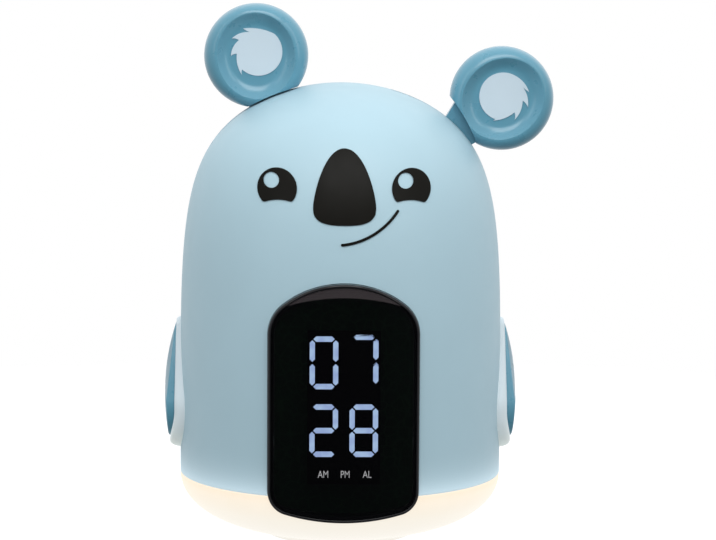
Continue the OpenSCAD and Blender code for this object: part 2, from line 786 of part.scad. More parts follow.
module ribbon_cables() {
    front = display_board_y + board_t;
    span = main_board_y - front;
    color("gray") {
        translate([-ribbon_half_w, 0, 0]) rotate([90, 0, 90]) linear_extrude(2 * ribbon_half_w)
            polygon(band([for (i = [0 : 12]) let(s = i / 12)
                [front + span * s, ribbon_z - ribbon_sag * (1 - pow(2 * s - 1, 2))]], ribbon_t));
        translate([led_cable_x, 0, 0]) {
            block(-led_cable_half_w, led_cable_half_w, cable_hole_y, cable_hole_y + ribbon_t,
                led_board_z + led_board_t, ribbon_z);
            block(-led_cable_half_w, led_cable_half_w, cable_hole_y, main_board_y,
                ribbon_z - ribbon_t, ribbon_z);
        }
    }
}

// ---- Electronics at the back ----

key_at = [[0, key_pitch], [0, -key_pitch], [-key_pitch, 0], [key_pitch, 0], [0, 0]];

module main_board() {
    color(board_green) block(-control_w / 2 - 1, control_w / 2 + 1, main_board_y, main_board_y + board_t,
        control_z - control_h / 2, control_z + control_h / 2);
}

module board_chips() {
    color([0.12, 0.12, 0.12]) {
        block(-14, -7, main_board_y - 1.5, main_board_y, control_z + 2, control_z + 9);
        block(7, 13, main_board_y - 1.5, main_board_y, control_z - 1, control_z + 7);
    }
}

module key_switches() {
    tip = key_flange_y - key_flange_t - key_travel - 0.1;
    base = main_board_y + board_t;
    color("dimgray") for (p = key_at) {
        block(p.x - switch_half_w, p.x + switch_half_w, base, base + switch_body_h,
            control_z + p.y - switch_half_w, control_z + p.y + switch_half_w);
        along_y(p.x, control_z + p.y, plunger_r, base, tip);
    }
}

module control_panel() {
    half_w = control_w / 2;
    half_h = control_h / 2;
    hollow_y = control_flange_y - control_flange_t - 0.6;
    color([0.62, 0.76, 0.82]) difference() {
        union() {
            block(-half_w, half_w, control_y - control_t, control_y, control_z - half_h, control_z + half_h);
            block(-half_w - control_flange, half_w + control_flange,
                control_flange_y - control_flange_t, control_flange_y,
                control_z - half_h - control_flange, control_z + half_h + control_flange);
            difference() {
                block(-half_w, half_w, control_flange_y - control_flange_t, control_y,
                    control_z - half_h, control_z + half_h);
                block(-half_w + bar_t, half_w - bar_t, hollow_y, control_y - control_t,
                    control_z - half_h + bar_t, control_z + half_h - bar_t);
            }
            for (x = [-1, 1]) for (z = [-1, 1])
                along_y(x * (half_w - control_post_in), control_z + z * (half_h - control_post_in),
                    control_post_r, main_board_y + board_t, control_y - control_t + eps);
        }
        block(-half_w + bar_t + control_rib, half_w - bar_t - control_rib, hollow_y, control_y - control_t,
            control_z - half_h + bar_t, control_z + half_h - bar_t);
        block(-half_w + bar_t, half_w - bar_t, hollow_y, control_y - control_t,
            control_z - half_h + bar_t + control_rib, control_z + half_h - bar_t - control_rib);
        for (p = key_at) along_y(p.x, control_z + p.y, key_r + key_gap, hollow_y - body_r, control_y + 1);
    }
}

module key(k) {
    p = key_at[k];
    half_w = control_w / 2 - bar_t - key_play;
    half_h = control_h / 2 - bar_t - key_play;
    color([0.93, 0.95, 0.96]) {
        along_y(p.x, control_z + p.y, key_r, key_flange_y - key_flange_t, control_y + key_proud);
        intersection() {
            along_y(p.x, control_z + p.y, key_r + key_flange, key_flange_y - key_flange_t, key_flange_y);
            block(-half_w, half_w, key_flange_y - 2 * key_flange_t, control_y,
                control_z - half_h, control_z + half_h);
        }
    }
}

module plus_button() { key(0); }
module minus_button() { key(1); }
module clock_button() { key(2); }
module alarm_button() { key(3); }
module volume_button() { key(4); }

module speaker_frame() {
    color([0.2, 0.2, 0.2]) difference() {
        union() {
            along_y(0, speaker_z, speaker_r, speaker_y, speaker_y + speaker_frame_t);
            along_y(0, speaker_z, magnet_r + speaker_yoke_wall, speaker_y - speaker_yoke_t, speaker_y + eps);
        }
        along_y(0, speaker_z, speaker_r - speaker_rim, speaker_y + cone_y, speaker_y + speaker_frame_t + 1);
        along_y(0, speaker_z, magnet_r, speaker_y - speaker_yoke_t + 1, speaker_y + 1);
    }
}

module speaker_cone() {
    color([0.1, 0.1, 0.1]) translate([0, speaker_y + cone_y, speaker_z]) rotate([-90, 0, 0]) difference() {
        cylinder(r = speaker_r - speaker_rim, h = cone_t);
        translate([0, 0, 0.6 * cone_t])
            cylinder(r1 = cone_cap_r, r2 = speaker_r - speaker_rim - 1.5, h = cone_t / 2);
    }
}

module speaker_magnet() {
    color("silver") along_y(0, speaker_z, magnet_r, speaker_y - speaker_yoke_t - magnet_t,
        speaker_y - speaker_yoke_t);
}

module speaker_wires() {
    low = control_z + control_h / 2 - wire_low;
    color("red") for (x = [-wire_x, wire_x]) {
        block(x - wire_half_w, x + wire_half_w, wire_y, wire_y + 2 * wire_half_w, low,
            speaker_z - sqrt(pow(magnet_r, 2) - pow(wire_x - wire_half_w, 2)));
        block(x - wire_half_w, x + wire_half_w, wire_y, main_board_y, low - 2 * wire_half_w, low);
    }
}

module battery_box() {
    color([0.9, 0.9, 0.9]) difference() {
        union() {
            block(-box_half_w, box_half_w, box_y, box_back_y, box_low, box_top);
            block(-box_flange_x, box_flange_x, box_flange_y - box_flange_t, box_flange_y,
                box_low - 3, box_top);
            along_y(0, door_screw_z, door_screw_boss_r, door_boss_y, box_back_y);
            block(-2, 2, door_boss_y, box_back_y, box_top - eps, door_screw_z);
        }
        block(-box_half_w + box_wall, box_half_w - box_wall, box_y + box_wall, body_r,
            box_low + box_wall, box_top - box_wall);
        along_y(0, door_screw_z, screw_r + 0.3, door_boss_y + 1, body_r);
    }
}

module batteries() {
    color("silver") for (k = [-1 : 1]) mirror([0, 0, k == 0 ? 1 : 0])
        translate([k * cell_pitch, cell_y, k == 0 ? -cell_z - cell_l : cell_z]) {
            cylinder(r = cell_r, h = cell_l - cell_nub_l);
            translate([0, 0, cell_l - cell_nub_l - eps]) cylinder(r = cell_nub_r, h = cell_nub_l + eps);
        }
}

module battery_contacts() {
    color("gold") for (k = [-1 : 1]) {
        for (z = [cell_z - contact_t, cell_z + cell_l])
            block(k * cell_pitch - contact_half_w, k * cell_pitch + contact_half_w,
                cell_y - contact_half_w, cell_y + contact_half_w, z, z + contact_t);
    }
}

module battery_door() {
    color(shell_blue) difference() {
        intersection() {
            body_wall(0, wall, 180);
            block(-door_half_w, door_half_w, back_cut_y, body_r + 1, door_low, door_top);
        }
        along_y(0, door_screw_z, screw_r + 0.1, back_cut_y, body_r + 1);
        along_y(0, door_screw_z, screw_head_r + fit_gap, door_screw_seat_y, body_r + 1);
    }
}

module battery_door_screw() {
    color("silver") screw_along_y(0, door_screw_z, door_screw_seat_y, door_boss_y + 2,
        screw_r, screw_head_r, wall - 1.2);
}

module power_socket() {
    color("silver") rotate([0, 0, -socket_at]) difference() {
        block(-socket_w / 2, socket_w / 2, body_r - socket_in - socket_depth, body_r - socket_in,
            socket_z, socket_z + socket_h);
        block(-socket_w / 2 + socket_wall, socket_w / 2 - socket_wall, body_r - 6, body_r,
            socket_z + socket_wall, socket_z + socket_h - socket_wall);
    }
}

// ---- Ears ----

// Places a shape drawn about the hinge, with its middle along +X, on the given side at angle a
module ear_place(side, a) {
    mirror([side < 0 ? 1 : 0, 0, 0]) translate([ear_pivot_x, 0, ear_pivot_z]) rotate([0, -a, 0]) children();
}

// Half section of an ear drawn in by d, from height low: rounded rim, then a dish down to a flat
function ear_section(d, low) = concat([[0, low], [ear_r - d, low]],
    [for (i = [low < 0 ? 0 : 1 : 8]) let(a = 90 * i / 8)
        [ear_crest_r + (ear_r - d - ear_crest_r) * cos(a), (ear_half_t - d) * sin(a)]],
    [for (i = [1 : 6]) let(s = i / 6)
        [ear_crest_r + (ear_dish_r - ear_crest_r) * s,
            ear_half_t - d - (ear_half_t - ear_dish_h) * (1 - cos(180 * s)) / 2]],
    [[0, ear_dish_h - d]]);

// Outline of the room that the crown needs under an ear, with g added
function notch_outline(g) = concat([[0, 0]], [for (a = [-48 : 4 : 48])
    let(r = notch_at(a) + g) [r * cos(a), r * sin(a)]]);

module ear_turned(d, low) {
    translate([ear_reach, 0, 0]) rotate([90, 0, 0]) rotate_extrude($fn = 96) polygon(ear_section(d, low));
}

// The outside of an ear's half, cut away over the crown
module ear_outside() {
    difference() {
        ear_turned(0, 0);
        upright(-ear_half_t - 1, 1) polygon(notch_outline(0));
    }
}

// The hollow in it, which leaves a wall all round
module ear_hollow() {
    difference() {
        ear_turned(ear_wall, -1);
        upright(-ear_half_t - 2, 2) polygon(notch_outline(ear_wall));
    }
}

module ear_half() {
    difference() {
        difference() {
            ear_outside();
            ear_hollow();
        }
        upright(-arm_plate_half_t - arm_plate_play, 2) polygon(concat([[0, 0]],
            arc(0, 0, arm_plate_r + 1, arm_plate_low - 0.1, arm_plate_high + 0.1, 6)));
    }
}

// The pale tuft: a disc whose rim is drawn out into four swept points
tuft_at = [-28, -60, -98, -143];
tuft_tip = 1.19;
tuft_sweep = 30;
function tuft_reach(a) = patch_r * (1 + (tuft_tip - 1) * max([for (t = tuft_at)
    let(d = t - a) d >= 0 && d < tuft_sweep ? pow(1 - d / tuft_sweep, 1.6) : 0]));
module ear_patch() {
    translate([ear_reach, -ear_dish_h, 0]) rotate([90, 0, 0]) linear_extrude(patch_t)
        polygon([for (a = [-180 : 3 : 177]) let(r = tuft_reach(a) * 0.98) [r * cos(a), r * sin(a)]]);
}

module ear_arm() {
    difference() {
        union() {
            along_y(0, 0, hub_r, -hub_half_l, hub_half_l);
            upright(-arm_plate_half_t, arm_plate_half_t) polygon(concat([[0, 0]],
                arc(0, 0, arm_plate_r, arm_plate_low, arm_plate_high, 8)));
            upright(-shutter_half_w, shutter_half_w) polygon(concat(
                arc(0, 0, shutter_r, shutter_low, shutter_high, 30),
                reversed(arc(0, 0, shutter_r - shutter_t, shutter_low, shutter_high, 30))));
        }
        along_y(0, 0, ear_pin_r + pin_run_gap, -hub_half_l - 1, hub_half_l + 1);
    }
}

module ear_pin(side) {
    color("silver") along_y(side * ear_pivot_x, ear_pivot_z, ear_pin_r, -pin_half_l, pin_half_l);
}

module left_ear_front() { color(ear_blue) ear_place(-1, ear_closed_at) ear_half(); }
module left_ear_back() { color(ear_blue) ear_place(-1, ear_closed_at) mirror([0, 1, 0]) ear_half(); }
module left_ear_patch() { color(patch_blue) ear_place(-1, ear_closed_at) ear_patch(); }
module left_ear_arm() { color(ear_blue) ear_place(-1, ear_closed_at) ear_arm(); }
module left_ear_pin() { ear_pin(-1); }
module right_ear_front() { color(ear_blue) ear_place(1, ear_open_at) ear_half(); }
module right_ear_back() { color(ear_blue) ear_place(1, ear_open_at) mirror([0, 1, 0]) ear_half(); }
module right_ear_patch() { color(patch_blue) ear_place(1, ear_open_at) ear_patch(); }
module right_ear_arm() { color(ear_blue) ear_place(1, ear_open_at) ear_arm(); }
module right_ear_pin() { ear_pin(1); }

module ear_switches() {
    top = switch_shelf_z + switch_shelf_t;
    color("dimgray") for (side = [-1, 1]) {
        block(side * ear_pivot_x - ear_switch_half_w, side * ear_pivot_x + ear_switch_half_w,
            -3, 3, top, top + switch_h);
    }
}

// ---- Arms ----

module arm_ring(side) {
    color(ring_white) difference() {
        sideways(side, body_r - 8, arm_ring_x) difference() {
            polygon(drop_outline(arm_r, arm_tip_r));
            polygon(drop_outline(arm_r - arm_ring_w, arm_tip_r - arm_tip_step));
        }
        body_solid();
    }
}

module arm_dome(side, d) {
    translate([side * (arm_button_x - arm_dome_r), 0, arm_dome_z]) sphere(r = arm_dome_r - d, $fn = 128);
}

module arm_button(side) {
    stem_r = arm_r - arm_ring_w - arm_gap;
    stem_tip_r = arm_tip_r - arm_tip_step - arm_gap;
    back = arm_flange_x - arm_flange_t;
    color(ear_blue) {
        difference() {
            union() {
                intersection() {
                    sideways(side, back, arm_button_x + 1) polygon(drop_outline(stem_r, stem_tip_r));
                    arm_dome(side, 0);
                }
                sideways(side, back, arm_flange_x) polygon(drop_outline(arm_flange_r, arm_tip_r - 1));
            }
            intersection() {
                sideways(side, back - 1, arm_button_x + 1)
                    polygon(drop_outline(stem_r - arm_button_wall, stem_tip_r - 1.2));
                arm_dome(side, arm_button_wall);
            }
        }
        intersection() {
            sideways(side, arm_post_x, arm_button_x) translate([0, arm_switch_z]) circle(r = arm_post_r);
            arm_dome(side, arm_button_wall / 2);
        }
    }
}

module left_arm_ring() { arm_ring(-1); }
module right_arm_ring() { arm_ring(1); }
module left_arm_button() { arm_button(-1); }
module right_arm_button() { arm_button(1); }

module arm_switch_boards() {
    for (side = [-1, 1]) {
        color(board_green) mirror([side < 0 ? 1 : 0, 0, 0])
            block(arm_board_x, arm_board_x + board_t, -arm_board_half_w, arm_board_half_w,
                arm_switch_z - arm_board_h / 2, arm_switch_z + arm_board_h / 2);
        color("dimgray") sideways(side, arm_board_x + board_t, arm_board_x + board_t + switch_body_h)
            translate([-switch_half_w, arm_switch_z - switch_half_w]) square(2 * switch_half_w);
        color("dimgray") sideways(side, arm_board_x + board_t, arm_post_x - arm_travel - 0.1)
            translate([0, arm_switch_z]) circle(r = plunger_r);
    }
}

// ---- Face ----

// Lays a shape drawn in X and Z on the front of the body, as thick as the print
module on_front() {
    intersection() {
        rotate([0, 0, 180]) body_wall(print_t, 0, 180);
        upright(-body_r - 2, -20) children();
    }
}

module nose() {
    mid_z = nose_top - nose_h / 2;
    low_z = nose_top - nose_h + nose_corner_r;
    color([0.08, 0.07, 0.08]) on_front() hull() {
        translate([0, nose_top - nose_tip_r]) circle(r = nose_tip_r);
        for (side = [-1, 1]) {
            translate([side * (nose_w / 2 - 7.4), mid_z - 1.5]) circle(r = 6.6);
            translate([side * (nose_w / 2 - nose_corner_r), low_z]) circle(r = nose_corner_r);
        }
    }
}

module eyes() {
    color([0.06, 0.06, 0.07]) for (side = [-1, 1]) on_front() translate([side * eye_x, eye_z]) difference() {
        circle(r = eye_r);
        translate([glint_dx, glint_dz]) circle(r = glint_r);
        translate([0, -eye_cut_z - eye_cut_r]) circle(r = eye_cut_r, $fn = 96);
    }
}

module smile() {
    color([0.06, 0.06, 0.07]) on_front() polygon(concat(
        arc(smile_mid_x, smile_mid_z, smile_r + smile_w / 2, smile_from, smile_to, 20),
        reversed(arc(smile_mid_x, smile_mid_z, smile_r - smile_w / 2, smile_from, smile_to, 20))));
}

front_shell();
rear_shell();
light_base();
base_chassis();
chassis_screws();
led_ring_board();
night_leds();
rubber_foot();
base_screws();
housing_screws();
display_housing();
display_lens();
segment_mask();
hour_tens_digit();
hour_units_digit();
minute_tens_digit();
minute_units_digit();
unlit_segments();
indicator_windows();
display_board();
ribbon_cables();
main_board();
board_chips();
key_switches();
speaker_frame();
speaker_cone();
speaker_magnet();
speaker_wires();
battery_box();
batteries();
battery_contacts();
battery_door();
battery_door_screw();
power_socket();
control_panel();
plus_button();
minus_button();
clock_button();
alarm_button();
volume_button();
left_ear_front();
left_ear_back();
left_ear_patch();
left_ear_arm();
left_ear_pin();
right_ear_front();
right_ear_back();
right_ear_patch();
right_ear_arm();
right_ear_pin();
ear_switches();
left_arm_ring();
left_arm_button();
right_arm_ring();
right_arm_button();
arm_switch_boards();
nose();
eyes();
smile();
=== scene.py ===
from math import acos, asin, atan2, copysign, cos, degrees, hypot, pi, radians, sin, sqrt, tan

import bpy
import numpy as np
from mathutils import Matrix, Vector
from mathutils.bvhtree import BVHTree


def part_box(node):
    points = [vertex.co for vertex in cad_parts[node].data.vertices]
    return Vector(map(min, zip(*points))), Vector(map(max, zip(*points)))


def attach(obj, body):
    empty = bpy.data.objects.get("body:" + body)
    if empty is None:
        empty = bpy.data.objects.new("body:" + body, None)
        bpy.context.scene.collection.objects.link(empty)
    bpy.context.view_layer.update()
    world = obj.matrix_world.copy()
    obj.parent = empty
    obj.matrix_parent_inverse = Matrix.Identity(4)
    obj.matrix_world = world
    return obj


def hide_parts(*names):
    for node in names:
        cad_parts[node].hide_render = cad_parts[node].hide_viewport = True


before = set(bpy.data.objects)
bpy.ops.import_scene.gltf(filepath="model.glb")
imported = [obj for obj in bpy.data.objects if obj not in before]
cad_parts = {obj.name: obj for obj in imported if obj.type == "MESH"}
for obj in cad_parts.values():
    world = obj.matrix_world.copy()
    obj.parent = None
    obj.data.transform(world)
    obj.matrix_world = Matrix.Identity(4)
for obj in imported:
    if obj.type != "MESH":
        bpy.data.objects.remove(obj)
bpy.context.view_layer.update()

mm = 0.001

# ---- Viewpoint ----
# The clock is seen from a little over a metre away, from slightly above its middle and a touch to its left.
# A long lens keeps its sides nearly parallel.
picture_w, picture_h = 716, 540
axis_px = (340.8, 269.35)
view_distance = 1100 * mm
view_turn = radians(-1.3)
view_height = 227 * mm
aim_height = 100 * mm
focal_px = 2933
view_roll = radians(0.3)


def stand(name, data):
    """A new object in the scene."""
    piece = bpy.data.objects.new(name, data)
    bpy.context.scene.collection.objects.link(piece)
    return piece


def looking(eye, aim):
    """The place of something that stands at one point and looks at another."""
    return Matrix.Translation(eye) @ (aim - eye).to_track_quat("-Z", "Y").to_matrix().to_4x4()


eye = Vector((view_distance * sin(view_turn), -view_distance * cos(view_turn), view_height))
lens_data = bpy.data.cameras.new("viewpoint")
lens_data.sensor_width = 36
lens_data.lens = focal_px * lens_data.sensor_width / picture_w
lens_data.shift_x = (picture_w / 2 - axis_px[0]) / picture_w
lens_data.shift_y = (axis_px[1] - picture_h / 2) / picture_w
lens_data.clip_start = 0.05
viewpoint = stand("viewpoint", lens_data)
viewpoint.matrix_world = looking(eye, Vector((0, 0, aim_height))) @ Matrix.Rotation(view_roll, 4, "Z")
bpy.context.scene.camera = viewpoint

# ---- Body shells ----
# The body is two shells of satin pale-blue ABS, moulded with their bosses and screwed together from behind in
# the plane of the ears. Openings are left for the display, the ears' arms, the side buttons and the back.
shell_low, shell_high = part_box("rear_shell")
body_r = shell_high.y
seam_z = shell_low.z
body_h = shell_high.z - seam_z
shell_wall = 2.2 * mm
shoulder_draw, shoulder_power, crown_power = 0.33, 5.1, 12.5
lip_round = 0.5 * mm
parting_gap = 0.05 * mm
fit_gap = 0.15 * mm
cut_out, cut_in, panel_cut_in = 70 * mm, 40 * mm, 35 * mm    # from the axis
turn_steps = 216
side_steps = 150


def body_rad(z, grow=0.0):
    t = min(max((z - seam_z) / (body_h + grow), 0), 1)
    return (body_r + grow) * (1 - shoulder_draw * t ** shoulder_power) * sqrt(1 - t ** crown_power)


def body_side(grow, steps, start=0.0, stop=0.997):
    """Points up the body's side, closer together towards the crown."""
    shares = [1 - (1 - k) ** 2 for k in np.linspace(start, stop, steps)]
    heights = [seam_z + (body_h + grow) * t for t in shares]
    return [(body_rad(z, grow), z) for z in heights]


def at_angle(radius, angle, across=0, up=0):
    return across + radius * cos(radians(angle)), up + radius * sin(radians(angle))


def arc(across, up, radius, start, stop, steps):
    return [at_angle(radius, start + (stop - start) * k / steps, across, up) for k in range(steps + 1)]


def around(radius, height, steps=turn_steps):
    return [(radius * cos(a), radius * sin(a), height)
            for a in np.linspace(0, 2 * pi, steps, endpoint=False)]


def skin(name, rings, joined=False):
    """A closed skin over rings of as many points each. Its end rings are capped, or joined to each other."""
    count = len(rings[0])
    faces = []
    for k in range(len(rings) if joined else len(rings) - 1):
        here, there = k * count, (k + 1) % len(rings) * count
        faces += [(here + i, here + (i + 1) % count, there + (i + 1) % count, there + i)
                  for i in range(count)]
    if not joined:
        faces += [tuple(reversed(range(count))), tuple(range((len(rings) - 1) * count, len(rings) * count))]
    mesh = bpy.data.meshes.new(name)
    mesh.from_pydata([p for ring in rings for p in ring], [], faces)
    mesh.validate()
    piece = stand(name, mesh)
    volume = sum(t.area * Vector(t.center).dot(t.normal) for t in triangles(mesh))
    if volume < 0:
        mesh.flip_normals()
    return piece


def triangles(mesh):
    mesh.calc_loop_triangles()
    return mesh.loop_triangles


AXES = {"x": lambda u, v, w: (w, u, v), "y": lambda u, v, w: (u, w, v), "z": lambda u, v, w: (u, v, w)}


def stack(name, sections, along="y", joined=False):
    """A skin over outlines (u, v) that stand at given places along an axis."""
    place = AXES[along]
    return skin(name, [[place(u, v, w) for u, v in outline] for outline, w in sections], joined)


def prism(name, outline, start, stop, along="y"):
    return stack(name, [(outline, start), (outline, stop)], along)


def rounded_box(x0, x1, z0, z1, r, steps=6):
    return (arc(x1 - r, z1 - r, r, 0, 90, steps) + arc(x0 + r, z1 - r, r, 90, 180, steps)
            + arc(x0 + r, z0 + r, r, 180, 270, steps) + arc(x1 - r, z0 + r, r, 270, 360, steps))


def circle(across, up, radius, steps=48):
    return arc(across, up, radius, 0, 360 * (1 - 1 / steps), steps - 1)


def opening(name, x0, x1, z0, z1, r, start):
    """A tool for an opening that leaves a fit gap all round what sits in it."""
    return prism(name, rounded_box(x0 - fit_gap, x1 + fit_gap, z0 - fit_gap, z1 + fit_gap, r), start, cut_out)


def middle_z(node):
    low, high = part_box(node)
    return (low.z + high.z) / 2


def settled(piece):
    """The mesh of a piece with its modifiers applied."""
    return bpy.data.meshes.new_from_object(piece.evaluated_get(bpy.context.evaluated_depsgraph_get()))


def drop(*tools):
    for tool in tools:
        bpy.data.meshes.remove(tool.data)


def carve(piece, tool, how="DIFFERENCE", keep=False):
    """Cuts piece with tool, or joins or trims it, and drops the tool."""
    step = piece.modifiers.new("carve", "BOOLEAN")
    step.operation = how
    step.solver = "MANIFOLD"
    step.object = tool
    worked = settled(piece)
    old = piece.data
    piece.modifiers.clear()
    piece.data = worked
    worked.name = old.name
    bpy.data.meshes.remove(old)
    if not keep:
        drop(tool)
    return piece


def twin_of(piece, name):
    return stand(name, piece.data.copy())


def soften(piece, crease=30):
    """Smooth shading, broken only at edges sharper than crease degrees."""
    piece.data.shade_smooth()
    piece.data.set_sharp_from_angle(angle=radians(crease))
    return piece


def flow_from(piece, whole, crease=30):
    """Gives a cut piece the flowing surface of the whole shape that it was cut from."""
    reach, pull_in, same_way, no_area = 0.02 * mm, 0.02, 0.8, 1e-24
    soften(whole, crease)
    soften(piece, crease)
    mesh = whole.data
    spots = [v.co.copy() for v in mesh.vertices]
    corners = [Vector(n.vector) for n in mesh.corner_normals]
    tiles = [(tuple(t.vertices), tuple(t.loops)) for t in triangles(mesh)]
    tree = BVHTree.FromPolygons(spots, [t[0] for t in tiles])
    cut = piece.data
    normals = [Vector(n.vector) for n in cut.corner_normals]
    for face in cut.polygons:
        centre = face.center
        for loop in face.loop_indices:
            spot = cut.vertices[cut.loops[loop].vertex_index].co.lerp(centre, pull_in)
            near, facing, tile, _ = tree.find_nearest(spot, reach)
            if near is None or facing.dot(face.normal) < same_way:
                continue
            a, b, c = (spots[v] for v in tiles[tile][0])
            na, nb, nc = (corners[k] for k in tiles[tile][1])
            area = (b - a).cross(c - a)
            whole_area = area.length_squared
            if whole_area < no_area:
                continue
            share_a = (b - near).cross(c - near).dot(area) / whole_area
            share_b = (c - near).cross(a - near).dot(area) / whole_area
            normals[loop] = (na * share_a + nb * share_b + nc * (1 - share_a - share_b)).normalized()
    cut.normals_split_custom_set([n[:] for n in normals])
    return piece


def fit(piece, body, slot, finish, *nodes):
    """Sets a finished piece in the clock: its body, its material and the solids that it stands for."""
    piece.data.materials.clear()
    piece.data.materials.append(finish)
    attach(piece, body)
    if nodes:
        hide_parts(*nodes)
    return piece


def new_finish(name):
    finish = bpy.data.materials.new(name)
    finish.use_nodes = True
    return finish, finish.node_tree


def plug(tree, socket, value):
    """Sets an input to a value, or joins it to another node's output."""
    if isinstance(value, bpy.types.NodeSocket):
        tree.links.new(value, socket)
    else:
        socket.default_value = value


def add(tree, kind, inputs=None, **settings):
    """A new node with its settings and its inputs."""
    node = tree.nodes.new("ShaderNode" + kind)
    for name, value in settings.items():
        setattr(node, name, value)
    for name, value in (inputs or {}).items():
        plug(tree, node.inputs[name], value)
    return node


def dress(tree, inputs):
    """Sets or joins inputs of a finish's shader."""
    for name, value in inputs.items():
        plug(tree, tree.nodes["Principled BSDF"].inputs[name], value)


def spot_in(tree):
    """Where a point lies, in the clock's own coordinates."""
    return add(tree, "TexCoord").outputs["Object"]


def height_in(tree):
    return add(tree, "SeparateXYZ", {"Vector": spot_in(tree)}).outputs["Z"]


def cloudy(tree, size, detail=3.0, stretch=(1, 1, 1)):
    """A noise whose clouds are about size across."""
    scaled = add(tree, "Mapping", {"Vector": spot_in(tree), "Scale": [1 / (size * s) for s in stretch]})
    noise = add(tree, "TexNoise", {"Vector": scaled.outputs["Vector"], "Scale": 1, "Detail": detail})
    return noise.outputs["Fac"]


def spread(tree, source, low, high, start=0.3, stop=0.7):
    """Maps a source's range from start to stop onto the range from low to high."""
    return add(tree, "MapRange", {"Value": source, "From Min": start, "From Max": stop, "To Min": low,
                                  "To Max": high}).outputs["Result"]


def ramp(tree, source, stops):
    """Colours that run into each other, each at its own place along the source."""
    node = add(tree, "ValToRGB", {"Fac": source})
    elements = node.color_ramp.elements
    while len(elements) < len(stops):
        elements.new(0.5)
    for element, (place, colour) in zip(elements, stops):
        element.position = place
        element.color = (*colour, 1)
    return node.outputs["Color"]


def two_tone(tree, source, dark, light, start=0.3, stop=0.7):
    return ramp(tree, source, ((start, dark), (stop, light)))


def pitted(tree, source, depth, strength):
    bump = add(tree, "Bump", {"Strength": strength, "Distance": depth, "Height": source})
    dress(tree, {"Normal": bump.outputs["Normal"]})


def moulded_plastic(name, colour, rough=0.42, drift=0.03, grain=0.22 * mm, strength=0.12, specular=0.5):
    """Moulded ABS: a faint drift of colour and gloss, and the fine spark-eroded grain of the tool."""
    finish, tree = new_finish(name)
    cloud_size, patch_size, grain_depth = 22 * mm, 5 * mm, 0.02 * mm
    dark = [c * (1 - drift) for c in colour]
    light = [min(1, c * (1 + drift)) for c in colour]
    dress(tree, {"Base Color": two_tone(tree, cloudy(tree, cloud_size), dark, light),
                 "Roughness": spread(tree, cloudy(tree, patch_size), rough - 0.04, rough + 0.05),
                 "Specular IOR Level": specular})
    pitted(tree, cloudy(tree, grain, 2), grain_depth, strength)
    return finish


def panel_outline(grow):
    """The display panel's outline: straight sides, a bowed top and a flatter bowed foot."""
    def quarter(bow, corner, steps):
        across = panel_half_w - corner
        up = sqrt((bow - corner) ** 2 - across ** 2)
        turn = degrees(atan2(up, across))
        return (arc(across, up - bow, corner + grow, 0, turn, steps)
                + arc(0, -bow, bow + grow, turn, 90, steps)[1:])
    top = quarter(top_bow_r, top_corner_r, 28)
    foot = quarter(foot_bow_r, foot_corner_r, 24)
    return ([(x, panel_high_z + z) for x, z in top] + [(-x, panel_high_z + z) for x, z in top[-2::-1]]
            + [(-x, panel_low_z - z) for x, z in foot] + [(x, panel_low_z - z) for x, z in foot[-2::-1]])


panel_low, panel_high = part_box("display_lens")
panel_rim = 1.2 * mm
top_bow_r, top_corner_r, foot_bow_r, foot_corner_r = 34.5 * mm, 14.5 * mm, 95 * mm, 8 * mm
panel_half_w = panel_high.x + panel_rim
panel_low_z = panel_low.z - panel_rim
panel_high_z = panel_high.z + panel_rim

ear_pivot_x, ear_pivot_z = 23.6 * mm, 132.6 * mm
ear_closed_at, ear_swing = 80, 38.4
ear_open_at = ear_closed_at - ear_swing
arm_slot_half_w = 2.7 * mm
arm_slot_from, arm_slot_to = ear_open_at - 12.4, ear_closed_at + 18.4

ring_low, ring_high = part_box("right_arm_ring")
arm_ring_face = ring_high.x
arm_round_r, arm_tip_r = ring_high.y, 5 * mm
arm_low_z = ring_low.z + arm_round_r
arm_rise = ring_high.z - arm_tip_r - arm_low_z
arm_ring_w, arm_tip_w = 4 * mm, 2.4 * mm


def teardrop(inset, steps=28):
    """The side button's outline in Y and Z, drawn in by inset, and by less towards its tip."""
    big = arm_round_r - inset
    small = arm_tip_r - inset * arm_tip_w / arm_ring_w
    lean = degrees(asin((big - small) / arm_rise))
    return (arc(0, arm_low_z + arm_rise, small, lean, 180 - lean, steps)
            + arc(0, arm_low_z, big, 180 - lean, 360 + lean, 2 * steps)[1:-1])


housing_screws = [(-40 * mm, 95 * mm), (40 * mm, 95 * mm), (-40 * mm, 52 * mm), (40 * mm, 52 * mm),
                  (0, shell_high.z - 10 * mm)]
boss_r, screw_head_r, screw_seat_y = 3.6 * mm, 2.4 * mm, 6 * mm
pilot_r, pilot_depth, clear_r, well_gap, boss_steps = 1.2 * mm, 10 * mm, 1.3 * mm, 0.2 * mm, 32
ear_post_r, ear_post_y = 4 * mm, 12.4 * mm
speaker_z = middle_z("speaker_frame")
speaker_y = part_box("speaker_magnet")[0].y + 9 * mm
speaker_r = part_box("speaker_frame")[1].x
speaker_gap, speaker_tube_r = 0.3 * mm, speaker_r + 1.9 * mm
grille_r, grille_pitch, grille_slot, grille_round, grille_from = 11 * mm, 4 * mm, 2 * mm, 0.99 * mm, 2 * mm
door_low, door_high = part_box("battery_door")
control_low, control_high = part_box("control_panel")
control_half_w = 18 * mm
control_low_z, control_high_z = control_low.z + 2 * mm, control_high.z - 2 * mm
corner_r, control_corner_r = 1.6 * mm, 0.4 * mm
socket_turn = radians(-38)
socket_w, socket_h, socket_z, socket_round = 9 * mm, 3.3 * mm, 33 * mm, 1.2 * mm
slot_far_r, slot_near_r, arm_opening_from = 45 * mm, 24 * mm, 52 * mm

